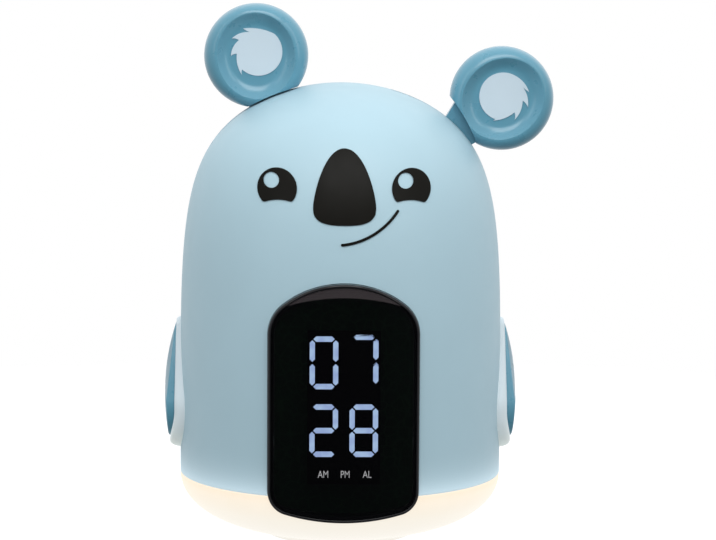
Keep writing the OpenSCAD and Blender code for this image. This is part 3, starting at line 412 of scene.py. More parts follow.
outer_side = [(body_r - lip_round + x, seam_z + lip_round + z) for x, z in arc(0, 0, lip_round, -90, 0, 5)]
outer_side += body_side(0, side_steps, start=0.004)
inner_side = body_side(-shell_wall, side_steps // 3)
body_rings = [around(r, z) for r, z in reversed(inner_side)] + [around(r, z) for r, z in outer_side]
whole_body = skin("whole_body", body_rings)
room = skin("body_room", [around(r, z, 96) for r, z in body_side(-shell_wall / 2, 60)])


def half_shell(name, side):
    """The half of the body on one side of the plane of the ears, with its bosses."""
    far = 2 * body_r
    bosses = [prism("boss", circle(x, z, boss_r, boss_steps), side * parting_gap, side * far)
              for x, z in housing_screws]
    bosses += [prism("post", circle(s * ear_pivot_x, ear_pivot_z, ear_post_r, boss_steps), side * ear_post_y,
                     side * far) for s in (-1, 1)]
    if side > 0:
        tube = prism("speaker_tube", circle(0, speaker_z, speaker_tube_r), speaker_y, far)
        carve(tube, prism("tube_bore", circle(0, speaker_z, speaker_r + speaker_gap), 0, 2 * far))
        bosses.append(tube)
    shell = twin_of(whole_body, name)
    ends = sorted((side * parting_gap, side * far))
    carve(shell, prism("half", rounded_box(-far, far, -far, 2 * far, mm), *ends), "INTERSECT")
    for boss in bosses:
        carve(boss, room, "INTERSECT", keep=True)
        carve(shell, boss, "UNION")
    slot = (arc(0, 0, slot_far_r, arm_slot_from, arm_slot_to, 12)
            + arc(0, 0, slot_near_r, arm_slot_to, arm_slot_from, 12))
    for s in (-1, 1):
        carve(shell, prism("ear_slot", [(s * (ear_pivot_x + x), ear_pivot_z + z) for x, z in slot],
                           -arm_slot_half_w, arm_slot_half_w))
        carve(shell, prism("arm_opening", teardrop(arm_ring_w), s * arm_opening_from, s * arm_ring_face, "x"))
    return shell


front_shell = half_shell("body_front", -1)
carve(front_shell, prism("panel_opening", panel_outline(fit_gap), -cut_out, -panel_cut_in))
for x, z in housing_screws:
    carve(front_shell, prism("screw_bore", circle(x, z, pilot_r, 24), -pilot_depth, mm))

rear_shell = half_shell("body_rear", 1)
for x, z in housing_screws:
    carve(rear_shell, prism("screw_bore", circle(x, z, clear_r, 24), -mm, body_r))
    carve(rear_shell, prism("screw_well", circle(x, z, screw_head_r + well_gap), screw_seat_y, cut_out))
carve(rear_shell, opening("door_opening", door_low.x, door_high.x, door_low.z, door_high.z, corner_r, cut_in))
carve(rear_shell, opening("control_opening", -control_half_w, control_half_w, control_low_z, control_high_z,
                          control_corner_r, cut_in))
for k in range(-2, 3):
    reach = sqrt(grille_r ** 2 - (k * grille_pitch) ** 2)
    slot_z = speaker_z + k * grille_pitch
    carve(rear_shell, prism("grille_slot", rounded_box(
        -reach, reach, slot_z - grille_slot / 2, slot_z + grille_slot / 2, grille_round),
        speaker_y + grille_from, cut_out))
socket_hole = opening("socket_hole", -socket_w / 2, socket_w / 2, socket_z, socket_z + socket_h, socket_round,
                      body_r - shell_wall - 2 * mm)
socket_hole.data.transform(Matrix.Rotation(socket_turn, 4, "Z"))
carve(rear_shell, socket_hole)


def painted_seam_glow(finish, colour, reach):
    """Painted glow: emission that stands in for the lamp bowl's light on a moulding above the seam, fading
    upwards.
    """
    tree = finish.node_tree
    near_seam = spread(tree, height_in(tree), 1, 0, seam_z, seam_z + reach)
    fade = add(tree, "Math", {0: near_seam, 1: 4}, operation="POWER")
    dress(tree, {"Emission Strength": fade.outputs["Value"], "Emission Color": (*colour, 1)})


shell_blue = moulded_plastic("shell_blue", (0.42, 0.60, 0.68), rough=0.46, drift=0.012, strength=0.06)
# Painted glow on the shells: emission near the seam, fading upwards, in place of the lamp bowl's light
painted_seam_glow(shell_blue, (0.29, 0.33, 0.36), 22 * mm)
for shell, node in ((front_shell, "front_shell"), (rear_shell, "rear_shell")):
    flow_from(shell, whole_body)
    fit(shell, "housing", "shell_blue", shell_blue, node)

# ---- Lamp bowl ----
# The bowl is frosted polycarbonate, lit from inside by the night light. It carries the clock: three screws go
# up through its floor into the chassis, and the display's housing comes down through a cut in its front.
bowl_flat_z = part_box("light_base")[0].z
bowl_wall = 2.2 * mm
bowl_depth, bowl_round, bowl_fullness = 23.2 * mm, 2.14, 2.61
bowl_steps = 40
foot_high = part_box("rubber_foot")[1]
bowl_screw_at, bowl_boss_r, bowl_boss_top = 19 * mm, 5 * mm, 12 * mm
bowl_well_r, bowl_well_top, bowl_bore_r = 3.2 * mm, 6 * mm, 1.6 * mm
bowl_screw_turns = (90, 210, 330)


def bowl_rad(z, inset=0.0):
    drop_share = min((seam_z - z) / (bowl_depth - inset), 1)
    return (body_r - inset) * (1 - drop_share ** bowl_round) ** (1 / bowl_fullness)


def bowl_side(inset, low, steps):
    heights = [seam_z - (seam_z - low) * sin(pi / 2 * k / steps) for k in range(steps + 1)]
    return [(bowl_rad(z, inset), z) for z in heights]


def bowl_skin(name):
    inside = bowl_side(bowl_wall, bowl_flat_z + bowl_wall, bowl_steps // 2)
    rim = [(body_r - lip_round + x, seam_z - lip_round + z) for x, z in arc(0, 0, lip_round, 90, 0, 5)]
    outside = [p for p in bowl_side(0, bowl_flat_z, bowl_steps) if p[1] < rim[-1][1]]
    return skin(name, [around(r, z) for r, z in inside[::-1] + rim + outside])


bowl = bowl_skin("lamp_bowl")
whole_bowl = bowl_skin("whole_bowl")
for turn in bowl_screw_turns:
    x, y = at_angle(bowl_screw_at, turn)
    carve(bowl, prism("boss", circle(x, y, bowl_boss_r), bowl_flat_z + mm, bowl_boss_top, "z"), "UNION")
    carve(bowl, prism("well", circle(x, y, bowl_well_r), 0, bowl_well_top, "z"))
    carve(bowl, prism("bore", circle(x, y, bowl_bore_r), 0, bowl_boss_top + mm, "z"))
carve(bowl, prism("foot_seat", circle(0, 0, foot_high.x + fit_gap, 128), 0, foot_high.z, "z"))
carve(bowl, prism("panel_cut", panel_outline(fit_gap), -cut_out, -panel_cut_in))

lamp_glow, tree = new_finish("lamp_bowl")
level = spread(tree, height_in(tree), 0, 1, bowl_flat_z, seam_z)
frost = cloudy(tree, 9 * mm)
dress(tree, {
    "Emission Color": ramp(tree, level, ((0.0, (0.98, 0.955, 0.895)), (0.55, (0.99, 0.935, 0.83)),
                                         (0.86, (0.99, 0.885, 0.735)), (1.0, (0.99, 0.83, 0.64)))),
    "Emission Strength": 0.87,
    "Base Color": two_tone(tree, frost, (0.20, 0.185, 0.16), (0.23, 0.21, 0.19)),
    "Roughness": spread(tree, frost, 0.48, 0.56),
    "Specular IOR Level": 0.2})
pitted(tree, cloudy(tree, 0.3 * mm, 2), 0.02 * mm, 0.08)
flow_from(bowl, whole_bowl)
drop(whole_bowl)
fit(bowl, "housing", "lamp_bowl", lamp_glow, "light_base")

# ---- Rubber foot ----
# A moulded disc of pale rubber with ring grooves is glued into the seat in the bowl's underside. It is all
# that touches the table.
foot_r, foot_edge = foot_high.x, 0.6 * mm
groove_w, groove_depth, groove_radii = 1.2 * mm, 0.5 * mm, (24 * mm, 20 * mm, 9 * mm)
foot_profile = [(foot_r, foot_high.z)] + [(foot_r - foot_edge + x, foot_edge + z)
                                          for x, z in arc(0, 0, foot_edge, 0, -90, 5)]
for groove_r in groove_radii:
    foot_profile += [(groove_r + groove_w / 2, 0), (groove_r + groove_w / 4, groove_depth),
                     (groove_r - groove_w / 4, groove_depth), (groove_r - groove_w / 2, 0)]
foot_profile += [(2 * mm, 0)]
foot = soften(skin("rubber_foot_ring", [around(r, z, 128) for r, z in foot_profile]))
rubber = moulded_plastic("foot_rubber", (0.60, 0.60, 0.59), rough=0.78, drift=0.05, grain=0.4 * mm,
                         strength=0.3, specular=0.2)
# Painted glow: a faint warm emission on the foot, as if lit through the bowl, lightens the shade under it
dress(rubber.node_tree, {"Emission Color": (1, 0.95, 0.86, 1), "Emission Strength": 0.6})
fit(foot, "housing", "foot_rubber", rubber, "rubber_foot")

# ---- Display panel ----
# The display sits in a gloss black housing, clipped behind both the body and the bowl. A smoked acrylic lens
# with a bevelled top is set flush in its rim, and the digits shine through it from a matt black mask.
face_r = -panel_low.y
lens_r = face_r - 1.6 * mm
housing_back_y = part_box("display_housing")[1].y
housing_wall, housing_flange, housing_flange_t = 2.2 * mm, 1.9 * mm, 2 * mm
seat_gap = 0.12 * mm
rim_round, housing_round = 0.25 * mm, 0.7 * mm
bevel_r, bevel_top_z = 66 * mm, 96.9 * mm
bevel_slope, bevel_reach, bevel_blend = tan(radians(9)), 9 * mm, 0.15 * mm
bevel_turn, lens_alpha = 0.48, 0.7


def bowed(outline, radius):
    """Lays an outline on an upright cylinder round the body's axis, at the front."""
    return [(x, -sqrt(radius ** 2 - x ** 2), z) for x, z in outline]


def flat(outline, y):
    return [(x, y, z) for x, z in outline]


frame_rings = [flat(panel_outline(-housing_wall), housing_back_y),
               bowed(panel_outline(-housing_wall), lens_r),
               bowed(panel_outline(-panel_rim + seat_gap), lens_r)]
frame_rings += [bowed(panel_outline(-panel_rim + seat_gap + rim_round + x), face_r - rim_round + z)
                for x, z in arc(0, 0, rim_round, 180, 90, 4)]
frame_rings += [bowed(panel_outline(-housing_round + x), face_r - housing_round + z)
                for x, z in arc(0, 0, housing_round, 90, 0, 6)]
frame_rings += [flat(panel_outline(0), housing_back_y - housing_flange_t),
                flat(panel_outline(housing_flange), housing_back_y - housing_flange_t),
                flat(panel_outline(housing_flange), housing_back_y)]
panel_frame = soften(skin("panel_frame", frame_rings, joined=True), 40)
gloss_black = moulded_plastic("panel_black", (0.006, 0.006, 0.008), rough=0.14, drift=0.2, grain=0.6 * mm,
                              strength=0.01, specular=0.35)
fit(panel_frame, "housing", "panel_black", gloss_black, "display_housing")

lens = prism("panel_lens", panel_outline(-panel_rim), -cut_out, -cut_in)
lens_front = skin("lens_front", [around(face_r, z, 4 * turn_steps) for z in (0, panel_high_z + 5 * mm)])
carve(lens, lens_front, "INTERSECT")
carve(lens, skin("lens_back", [around(lens_r, z, turn_steps) for z in (-mm, panel_high_z + 6 * mm)]))
bevel_mid_z = bevel_top_z - bevel_r


def bevel_ring(turn):
    """The section of what the bevel takes off the lens, at one place round the bevel's arc."""
    across, up = sin(turn), cos(turn)
    near, far, clear = bevel_r - mm, bevel_r + bevel_reach, face_r + bevel_reach
    corners = [(near, face_r + mm * bevel_slope), (far, face_r - bevel_reach * bevel_slope), (far, clear),
               (near, clear)]
    return [(away * across, -sqrt(r ** 2 - (away * across) ** 2), bevel_mid_z + away * up)
            for away, r in corners]


carve(lens, skin("bevel", [bevel_ring(t) for t in np.linspace(-bevel_turn, bevel_turn, 65)]))
soften(lens, 4)
smoke, tree = new_finish("lens_smoke")
onto_face = add(tree, "Mapping", {"Vector": spot_in(tree), "Location": (0, 0, -bevel_mid_z),
                                  "Scale": (1, 0, 1)})
from_middle = add(tree, "VectorMath", {0: onto_face.outputs["Vector"]}, operation="LENGTH")
bevel_painted_reflection_mask = spread(tree, from_middle.outputs["Value"], 0, 1, bevel_r - bevel_blend, bevel_r + bevel_blend)
# The bevel's lighter base colour is a painted reflection of the light above it; the bevel is also rougher
dress(tree, {"Base Color": two_tone(tree, bevel_painted_reflection_mask, (0.0012, 0.0012, 0.0018), (0.050, 0.042, 0.045), 0, 1),
             "Roughness": spread(tree, bevel_painted_reflection_mask, 0.06, 0.4, 0, 1), "Specular IOR Level": 0.05,
             "Alpha": lens_alpha})
fit(lens, "housing", "lens_smoke", smoke, "display_lens")
lens_pass = (1 - lens_alpha) ** 2


def shade(finish, *nodes):
    """Gives carried-over solids their finish."""
    for name in nodes:
        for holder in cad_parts[name].material_slots:
            holder.material = finish


def lit_plastic(name, dim, bright, strength):
    """A light guide with a lamp behind it: the light pools in soft spots along it."""
    finish, tree = new_finish(name)
    pools = cloudy(tree, 3.5 * mm, 1)
    dress(tree, {"Emission Color": two_tone(tree, pools, dim, bright, 0.35, 0.65),
                 "Emission Strength": strength, "Base Color": (*[c * 0.5 for c in bright], 1),
                 "Roughness": 0.5})
    return finish


def merged(name, parts):
    """One piece from several, which are removed."""
    spots, faces = [], []
    for part in parts:
        start = len(spots)
        part.data.transform(part.matrix_world)
        spots += [tuple(v.co) for v in part.data.vertices]
        faces += [tuple(start + i for i in face.vertices) for face in part.data.polygons]
        drop(part)
    mesh = bpy.data.meshes.new(name)
    mesh.from_pydata(spots, [], faces)
    return stand(name, mesh)


mask_black = moulded_plastic("mask_black", (0.004, 0.004, 0.004), rough=0.8, drift=0.2, specular=0.1)
shade(mask_black, "segment_mask")
lit_blue = lit_plastic("segment_lit", (0.30, 0.40, 0.66), (0.38, 0.52, 0.75), 0.92 / lens_pass)
mask_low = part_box("segment_mask")[0]
digit_w, digit_h, digit_at, bar_in = 10.6 * mm, 19.4 * mm, 7.2 * mm, 1.1 * mm
stroke_w, stroke_gap, stroke_t = 1.85 * mm, 0.42 * mm, 0.8 * mm
digit_nodes = {"hour_tens_digit": "abcdef", "hour_units_digit": "abc", "minute_tens_digit": "abged",
               "minute_units_digit": "abcdefg"}


def stroke_outline(across, up, length, upright):
    """One bar of a digit, with mitred ends."""
    half, tip = length / 2 - stroke_gap, stroke_w / 2
    flat_half = half - tip
    bar = [(-half, 0), (-flat_half, -tip), (flat_half, -tip), (half, 0), (flat_half, tip), (-flat_half, tip)]
    return [(across + v, up + u) if upright else (across + u, up + v) for u, v in bar]


def digit_strokes(across, up):
    """The seven bars, named clockwise from the top with the middle one last."""
    wide, tall = digit_w - 2 * bar_in, digit_h / 2 - bar_in
    side, level = wide / 2, tall / 2
    bars = {"a": (0, tall, False), "g": (0, 0, False), "d": (0, -tall, False), "b": (side, level, True),
            "c": (side, -level, True), "e": (-side, -level, True), "f": (-side, level, True)}
    return {name: stroke_outline(across + x, up + z, tall if stands else wide, stands)
            for name, (x, z, stands) in bars.items()}


for digit_node, lit_bars in digit_nodes.items():
    digit_low, digit_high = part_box(digit_node)
    across = copysign(digit_at, digit_low.x + digit_high.x)
    strokes = digit_strokes(across, middle_z(digit_node))
    digit = merged(f"{digit_node}_bars", [prism("bar", strokes[name], mask_low.y, mask_low.y + stroke_t)
                                          for name in lit_bars])
    fit(digit, "housing", "segment_lit", lit_blue, digit_node)
    digit.visible_diffuse = False
dark_guide = moulded_plastic("segment_dark", (0.006, 0.006, 0.007), rough=0.7, drift=0.1, specular=0.1)
shade(dark_guide, "unlit_segments")

# ---- Indicator letters ----
# Three small light guides of frosted plastic under the digits show narrow letters: morning, afternoon and
# alarm. Each stands on the mask and is lit from the board behind it.
mark_low, mark_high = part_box("indicator_windows")
mark_middles = {"AM": mark_low.x + 1.7 * mm, "PM": 0.6 * mm, "AL": mark_high.x - 1.7 * mm}
mark_h, mark_t, mark_narrow, capital_share = 2.7 * mm, 0.15 * mm, 0.74, 0.73


def letters(word, middle_x):
    line = bpy.data.curves.new(word, "FONT")
    line.body = word
    line.size = mark_h / capital_share
    line.extrude = mark_t / 2
    line.align_x, line.align_y = "CENTER", "CENTER"
    shape = settled(stand(word, line))
    bpy.data.curves.remove(line)
    piece = stand(word, shape)
    middle = (middle_x, mark_low.y - mark_t / 2, middle_z("indicator_windows"))
    piece.matrix_world = (Matrix.Translation(middle) @ Matrix.Rotation(radians(90), 4, "X")
                          @ Matrix.Diagonal((mark_narrow, 1, 1, 1)))
    bpy.context.view_layer.update()
    return piece


marks = merged("indicator_letters", [letters(word, x) for word, x in mark_middles.items()])
mark_grey = lit_plastic("mark_grey", (0.26, 0.26, 0.27), (0.36, 0.36, 0.37), 1.0 / lens_pass)
fit(marks, "housing", "mark_grey", mark_grey, "indicator_windows")
marks.visible_diffuse = False

# ---- Ears ----
# Each ear is two moulded halves, glued round a flat arm that comes up through a slot in the crown. The arm
# turns on a steel pin inside the body, so the ear can be tilted outwards. A pale tuft lies in each dish.
ear_reach = 48.7 * mm
ear_r, ear_half_t, ear_crest_r, ear_wall = 19.5 * mm, 7 * mm, 16.0 * mm, 1.6 * mm
ear_dish_r, ear_dish_h, ear_fall = 10.6 * mm, 4.1 * mm, 0.62
ear_squeeze = 0.91
ear_gap, ear_cut_out = 0.5 * mm, 8 * mm
ear_plate_half_t, ear_plate_r, ear_plate_from, ear_plate_to = 2.25 * mm, 42 * mm, -11.1, 17.1
ear_turn_steps = 144
tuft_t = 0.35 * mm
tuft_r = 8.95 * mm


def crown_at(angle):
    """Distance from the right hinge to the crown in a direction, found by halving."""
    near, far = 15 * mm, 60 * mm
    for _ in range(20):
        middle = (near + far) / 2
        across, up = at_angle(middle, angle, ear_pivot_x, ear_pivot_z)
        if across < body_rad(up):
            near = middle
        else:
            far = middle
    return near


def notch_outline(grow):
    """The room that the crown needs under an ear over its whole swing."""
    outline = [(0, 0)]
    for angle in range(-48, 49, 3):
        reach = max(crown_at(angle + ear_closed_at - ear_swing * k / 8) for k in range(9)) + ear_gap + grow
        outline.append(at_angle(reach, angle))
    return outline


def ear_skin(name, inset, back):
    """A front ear half as a solid: rounded rim, then an oval dish, drawn in by inset."""
    rim = [(ear_crest_r + (ear_r - inset - ear_crest_r) * cos(a), (ear_half_t - inset) * sin(a))
           for a in np.linspace(0, pi / 2, 20)]
    dish = [(ear_crest_r + (ear_dish_r - ear_crest_r) * s,
             ear_half_t - inset - (ear_half_t - ear_dish_h) * (1 - cos(pi * s ** ear_fall)) / 2)
            for s in np.linspace(0, 1, 28)[1:]]
    profile = [(ear_r - inset, -back)] * (back > 0) + rim + dish
    rings = []
    for r, y in profile:
        inward = min((ear_r - inset - r) / (ear_r - ear_crest_r), 1)
        squeeze = 1 - (1 - ear_squeeze) * inward
        rings.append([(ear_reach + r * cos(a), -y, squeeze * r * sin(a))
                      for a in np.linspace(0, 2 * pi, ear_turn_steps, endpoint=False)])
    return skin(name, rings)


def sector(radius, start, stop):
    return [(0, 0)] + arc(0, 0, radius, start, stop, 16)


ear_whole = ear_skin("ear_whole", 0, 0)
ear_half = twin_of(ear_whole, "ear_half")
carve(ear_half, prism("notch", notch_outline(0), -ear_cut_out, mm))
ear_room = ear_skin("ear_room", ear_wall, mm)
carve(ear_room, prism("notch_wall", notch_outline(ear_wall), -ear_cut_out, 2 * mm))
carve(ear_half, ear_room)
carve(ear_half, prism("arm_slot", sector(ear_plate_r, ear_plate_from, ear_plate_to), -ear_plate_half_t,
                      2 * mm))


def ear_place(side, angle, back):
    """Stands a half drawn about the hinge where it belongs on the body."""
    place = (Matrix.Diagonal((side, 1, 1, 1)) @ Matrix.Translation((ear_pivot_x, 0, ear_pivot_z))
             @ Matrix.Rotation(-radians(angle), 4, "Y"))
    return place @ Matrix.Diagonal((1, -1, 1, 1)) if back else place


def placed(piece, name, place):
    copy = twin_of(piece, name)
    copy.data.transform(place)
    if place.determinant() < 0:
        copy.data.flip_normals()
    return copy


def bend(start, stop, bulge, steps=8):
    """A bowed line that leaves the straight one by bulge, towards its left."""
    (x0, z0), (x1, z1) = start, stop
    span = hypot(x1 - x0, z1 - z0)
    across, up = -(z1 - z0) / span, (x1 - x0) / span
    points = []
    for s in (k / steps for k in range(steps)):
        rise = bulge * 4 * s * (1 - s)
        points.append((x0 + (x1 - x0) * s + across * rise, z0 + (z1 - z0) * s + up * rise))
    return points


def tuft_outline(side, tips, notches, start, stop):
    """A disc drawn out into swept points, drawn round towards the left ear's side."""
    left = -side * mm
    outline = [(left * x, y * mm) for x, y in arc(0, 0, tuft_r / mm, start, stop, 40)]
    corners = [outline[-1]] + [(left * p[0], p[1] * mm) for pair in zip(tips, notches) for p in pair]
    bulges = [0.9, 0.1] + [0.75, -0.25] * (len(tips) - 1)
    for here, there, bulge in zip(corners, corners[1:], bulges):
        outline += bend(here, there, -bulge * -side * mm)
    return outline


# Points of the tufts from the ear's middle, in millimetres: how far towards the left, and up
left_tips, left_notches = ((-5.7, 8.6), (-9.9, 4.9), (-10.2, -1.6), (-6.1, -8.7)), (
    (-3.2, 7.3), (-7.2, 4.3), (-8.0, -0.8), (-5.9, -6.4))
right_tips, right_notches = ((-9.7, 1.7), (-9.3, -4.0), (-4.4, -8.7), (3.8, -9.0)), (
    (-7.3, 3.6), (-7.3, -1.5), (-4.3, -5.9), (2.2, -7.6))

ear_blue = moulded_plastic("ear_blue", (0.103, 0.310, 0.42), rough=0.30, drift=0.02, grain=0.6 * mm,
                           strength=0.015)
dress(ear_blue.node_tree, {"Coat Weight": 0.55, "Coat Roughness": 0.16})
patch_blue = moulded_plastic("patch_blue", (0.60, 0.72, 0.80), rough=0.5, drift=0.02, strength=0.05)
for word, side, angle, tips, notches, arc_from, arc_to, shift_x, shift_z in (
        ("left", -1, ear_closed_at, left_tips, left_notches, -132, 48, 0.8 * mm, 1.5 * mm),
        ("right", 1, ear_open_at, right_tips, right_notches, -72, 115, 0.3 * mm, 0.8 * mm)):
    for face in ("front", "back"):
        place = ear_place(side, angle, face == "back")
        half = placed(ear_half, f"{word}_ear_{face}_half", place)
        smooth = placed(ear_whole, "smooth", place)
        flow_from(half, smooth)
        drop(smooth)
        fit(half, f"{word}_ear", "ear_blue", ear_blue, f"{word}_ear_{face}")
    middle = ear_place(side, angle, False) @ Vector((ear_reach, 0, 0))
    outline = [(middle.x + shift_x + x, middle.z + shift_z + z)
               for x, z in tuft_outline(side, tips, notches, arc_from, arc_to)]
    tuft = prism(f"{word}_ear_tuft", outline, -ear_dish_h - tuft_t, -ear_dish_h + 0.02 * mm)
    fit(soften(tuft), f"{word}_ear", "patch_blue", patch_blue, f"{word}_ear_patch")
drop(ear_half, ear_whole)
shade(ear_blue, "left_ear_arm", "right_ear_arm")

# ---- Side buttons ----
# The clock's two arms are press buttons. Each is a domed blue cap in a pale moulded ring that is welded to
# the shells, and a flange behind the opening keeps it from coming out.
ring_edge_in, ring_edge_out, ring_inner_edge, ring_root_x = 2.7 * mm, 4.6 * mm, 0.5 * mm, 52.5 * mm
ring_top_from, ring_top_sunk = 68 * mm, 0.5 * mm
ring_foot_from, ring_foot_rise = 48 * mm, 2.3 * mm
cap_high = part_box("right_arm_button")[1]
cap_r, cap_dome_z, cap_gap, cap_edge = 86 * mm, 53 * mm, 0.3 * mm, 0.6 * mm
cap_flange_in, cap_flange_x, cap_flange_t = 2.6 * mm, 55.9 * mm, 1.2 * mm


def dome_x(y, z):
    return cap_high.x - cap_r + sqrt(cap_r ** 2 - y ** 2 - (z - cap_dome_z) ** 2)


def arm_cap(name, side):
    rings = [[(side * x, y, z) for y, z in teardrop(inset)]
             for inset, x in ((cap_flange_in, cap_flange_x - cap_flange_t), (cap_flange_in, cap_flange_x),
                              (arm_ring_w + cap_gap, cap_flange_x))]
    for a in np.linspace(0, pi / 2, 6):
        rings.append([(side * (dome_x(y, z) - cap_edge * (1 - sin(a))), y, z)
                      for y, z in teardrop(arm_ring_w + cap_gap + cap_edge * (1 - cos(a)))])
    last = teardrop(arm_ring_w + cap_gap + cap_edge)
    for share in (0.9, 0.8, 0.68, 0.56, 0.44, 0.32, 0.2, 0.1, 0.02):
        spots = [(share * y, cap_dome_z + share * (z - cap_dome_z)) for y, z in last]
        rings.append([(side * dome_x(y, z), y, z) for y, z in spots])
    return skin(name, rings)


def eased(share):
    share = min(max(share, 0), 1)
    return share * share * (3 - 2 * share)


def ring_face_x(z):
    """The ring's face draws in towards its tip and swells out round its foot."""
    return (arm_ring_face - ring_top_sunk * eased((z - ring_top_from) / (ring_high.z - ring_top_from))
            + ring_foot_rise * eased((ring_foot_from - z) / (ring_foot_from - ring_low.z)))


def ring_section(inset, sunk, side):
    return [(side * (ring_face_x(z) - sunk), y, z) for y, z in teardrop(inset)]


ring_steps = [(ring_edge_in * (1 - cos(a)), ring_edge_out * (1 - sin(a)))
              for a in np.linspace(0, pi / 2, 12)]
ring_steps += [(arm_ring_w - ring_inner_edge * (1 - sin(a)), ring_inner_edge * (1 - cos(a)))
               for a in np.linspace(0, pi / 2, 6)]
ring_pale = moulded_plastic("ring_white", (0.70, 0.80, 0.85), rough=0.42, drift=0.015, strength=0.05)
# Painted glow on the pale rings: emission that fades upwards from the seam, in place of the lamp bowl's light
painted_seam_glow(ring_pale, (0.95, 0.98, 0.85), 45 * mm)
body_block = skin("body_block", [around(r, z) for r, z in outer_side])
for word, side in (("left", -1), ("right", 1)):
    roots = [[(side * ring_root_x, y, z) for y, z in teardrop(inset)] for inset in (0, arm_ring_w)]
    ring_rings = [roots[0]] + [ring_section(inset, sunk, side) for inset, sunk in ring_steps] + [roots[1]]
    ring = skin(f"{word}_arm_surround", ring_rings, joined=True)
    smooth = twin_of(ring, "smooth")
    carve(ring, body_block, keep=True)
    flow_from(ring, smooth)
    drop(smooth)
    fit(ring, "housing", "ring_white", ring_pale, f"{word}_arm_ring")
    cap = soften(arm_cap(f"{word}_arm_cap", side), 35)
    fit(cap, f"{word}_arm", "ear_blue", ear_blue, f"{word}_arm_button")

# ---- Face ----
# Eyes, nose and smile are pad-printed in thick black lacquer, and follow the front shell's curve. The eyes'
# glints are left bare, so the shell shows in them.
print_in, print_out = 0.02 * mm, 0.32 * mm
print_low_z, print_high_z = 104 * mm, 154 * mm
print_cut = (-65 * mm, -20 * mm)
nose_wide_at, nose_above, nose_below = 0.76, (1.4, 2.1), (2.9, 2.8)
nose_low, nose_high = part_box("nose")
eye_at, eye_r, eye_z = 24.2 * mm, 7.15 * mm, 135.1 * mm
glint_r, glint_at = 2.8 * mm, (-2.1 * mm, 2.75 * mm)
lid_r, lid_drop, eye_lean = 15 * mm, 4.1 * mm, radians(2.5)
eye_corner_r, eye_corner_bulge = 0.7 * mm, -0.15 * mm
smile_at, smile_r, smile_half_w = (-3.6 * mm, 143 * mm), 27.7 * mm, 0.5 * mm
smile_from, smile_to = -84.2, -34.7


def face_band(name, steps=60):
    heights = np.linspace(print_low_z, print_high_z, steps)
    outside = [around(body_rad(z, print_out), z) for z in heights]
    inside = [around(body_rad(z, print_in), z) for z in heights[::-1]]
    return skin(name, outside + inside, joined=True)


def nose_outline(steps=40):
    """Pointed like an egg above its widest place, and squarer below it."""
    height, half = nose_high.z - nose_low.z, nose_high.x
    side = []
    for share in [(1 - cos(pi * k / steps)) / 2 for k in range(1, steps)]:
        if share < nose_wide_at:
            near_end, (power, root) = share / nose_wide_at, nose_above
        else:
            near_end, (power, root) = (1 - share) / (1 - nose_wide_at), nose_below
        width = (1 - (1 - near_end) ** power) ** (1 / root)
        side.append((half * width, nose_high.z - height * share))
    return [(0, nose_high.z)] + side + [(0, nose_low.z)] + [(-x, z) for x, z in side[::-1]]


def eye_outline(x):
    """A disc whose foot is cut away by the cheek's arc, with softened corners, and leaning inwards."""
    foot = -lid_drop - lid_r
    meet = (eye_r ** 2 - lid_r ** 2 + foot ** 2) / (2 * foot)
    corner = degrees(asin(meet / eye_r))
    lid_corner = degrees(acos(sqrt(eye_r ** 2 - meet ** 2) / lid_r))
    soft = degrees(eye_corner_r / eye_r)
    lid_soft = degrees(eye_corner_r / lid_r)
    rim = arc(0, 0, eye_r, corner + soft, 180 - corner - soft, 48)
    lid = arc(0, foot, lid_r, 180 - lid_corner - lid_soft, lid_corner + lid_soft, 16)
    edge = (rim + bend(rim[-1], lid[0], eye_corner_bulge)[1:]
            + lid + bend(lid[-1], rim[0], eye_corner_bulge)[1:])
    turn = Matrix.Rotation(-copysign(eye_lean, x), 2)
    return [(x + p.x, eye_z + p.y) for p in (turn @ Vector(spot) for spot in edge)]


def printed(name, outline, holes=()):
    piece = face_band(name)
    carve(piece, prism("shape", outline, *print_cut), "INTERSECT")
    for hole in holes:
        carve(piece, prism("hole", hole, *print_cut))
    return flow_from(piece, band)


band = face_band("band")
lacquer = moulded_plastic("print_black", (0.007, 0.0065, 0.005), rough=0.36, drift=0.15, grain=0.5 * mm,
                          strength=0.03, specular=0.09)
nose = printed("nose_print", nose_outline())
fit(nose, "housing", "print_black", lacquer, "nose")
eye_prints = [printed("eye", eye_outline(x), [circle(x + glint_at[0], eye_z + glint_at[1], glint_r)])
              for x in (-eye_at, eye_at)]
for eye_print, word in zip(eye_prints, ("left", "right")):
    eye_print.name = f"{word}_eye_print"
    fit(eye_print, "housing", "print_black", lacquer, "eyes")
stroke = (arc(*smile_at, smile_r + smile_half_w, smile_from, smile_to, 40)
          + arc(*at_angle(smile_r, smile_to, *smile_at), smile_half_w, smile_to, smile_to + 180, 8)[1:-1]
          + arc(*smile_at, smile_r - smile_half_w, smile_to, smile_from, 40)
          + arc(*at_angle(smile_r, smile_from, *smile_at), smile_half_w, smile_from + 180, smile_from + 360,
                8)[1:-1])
smile = printed("smile_print", stroke)
fit(smile, "housing", "print_black", lacquer, "smile")
drop(band)

# ---- Battery door ----
# A curved door of the body's own plastic closes the cells in at the back, held by one screw in a sunk seat.
# Three shallow grooves under the screw give the fingers a hold.
door_cut_in, door_round, door_screw_r = 30 * mm, 1.5 * mm, 1.3 * mm
door_screw_low, door_screw_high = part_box("battery_door_screw")
door_screw_z = middle_z("battery_door_screw")
door_head_r = door_screw_high.x
door_seat_y = door_screw_high.y - mm
grip_pitch, grip_half_w, grip_h, grip_round, grip_depth = 3.2 * mm, 9 * mm, 1.2 * mm, 0.59 * mm, 0.45 * mm
grip_below = 8 * mm


def collar(name, inner, outer, low, high):
    """A band round the body's axis."""
    corners = ((outer, low), (outer, high), (inner, high), (inner, low))
    return skin(name, [around(r, z) for r, z in corners], True)


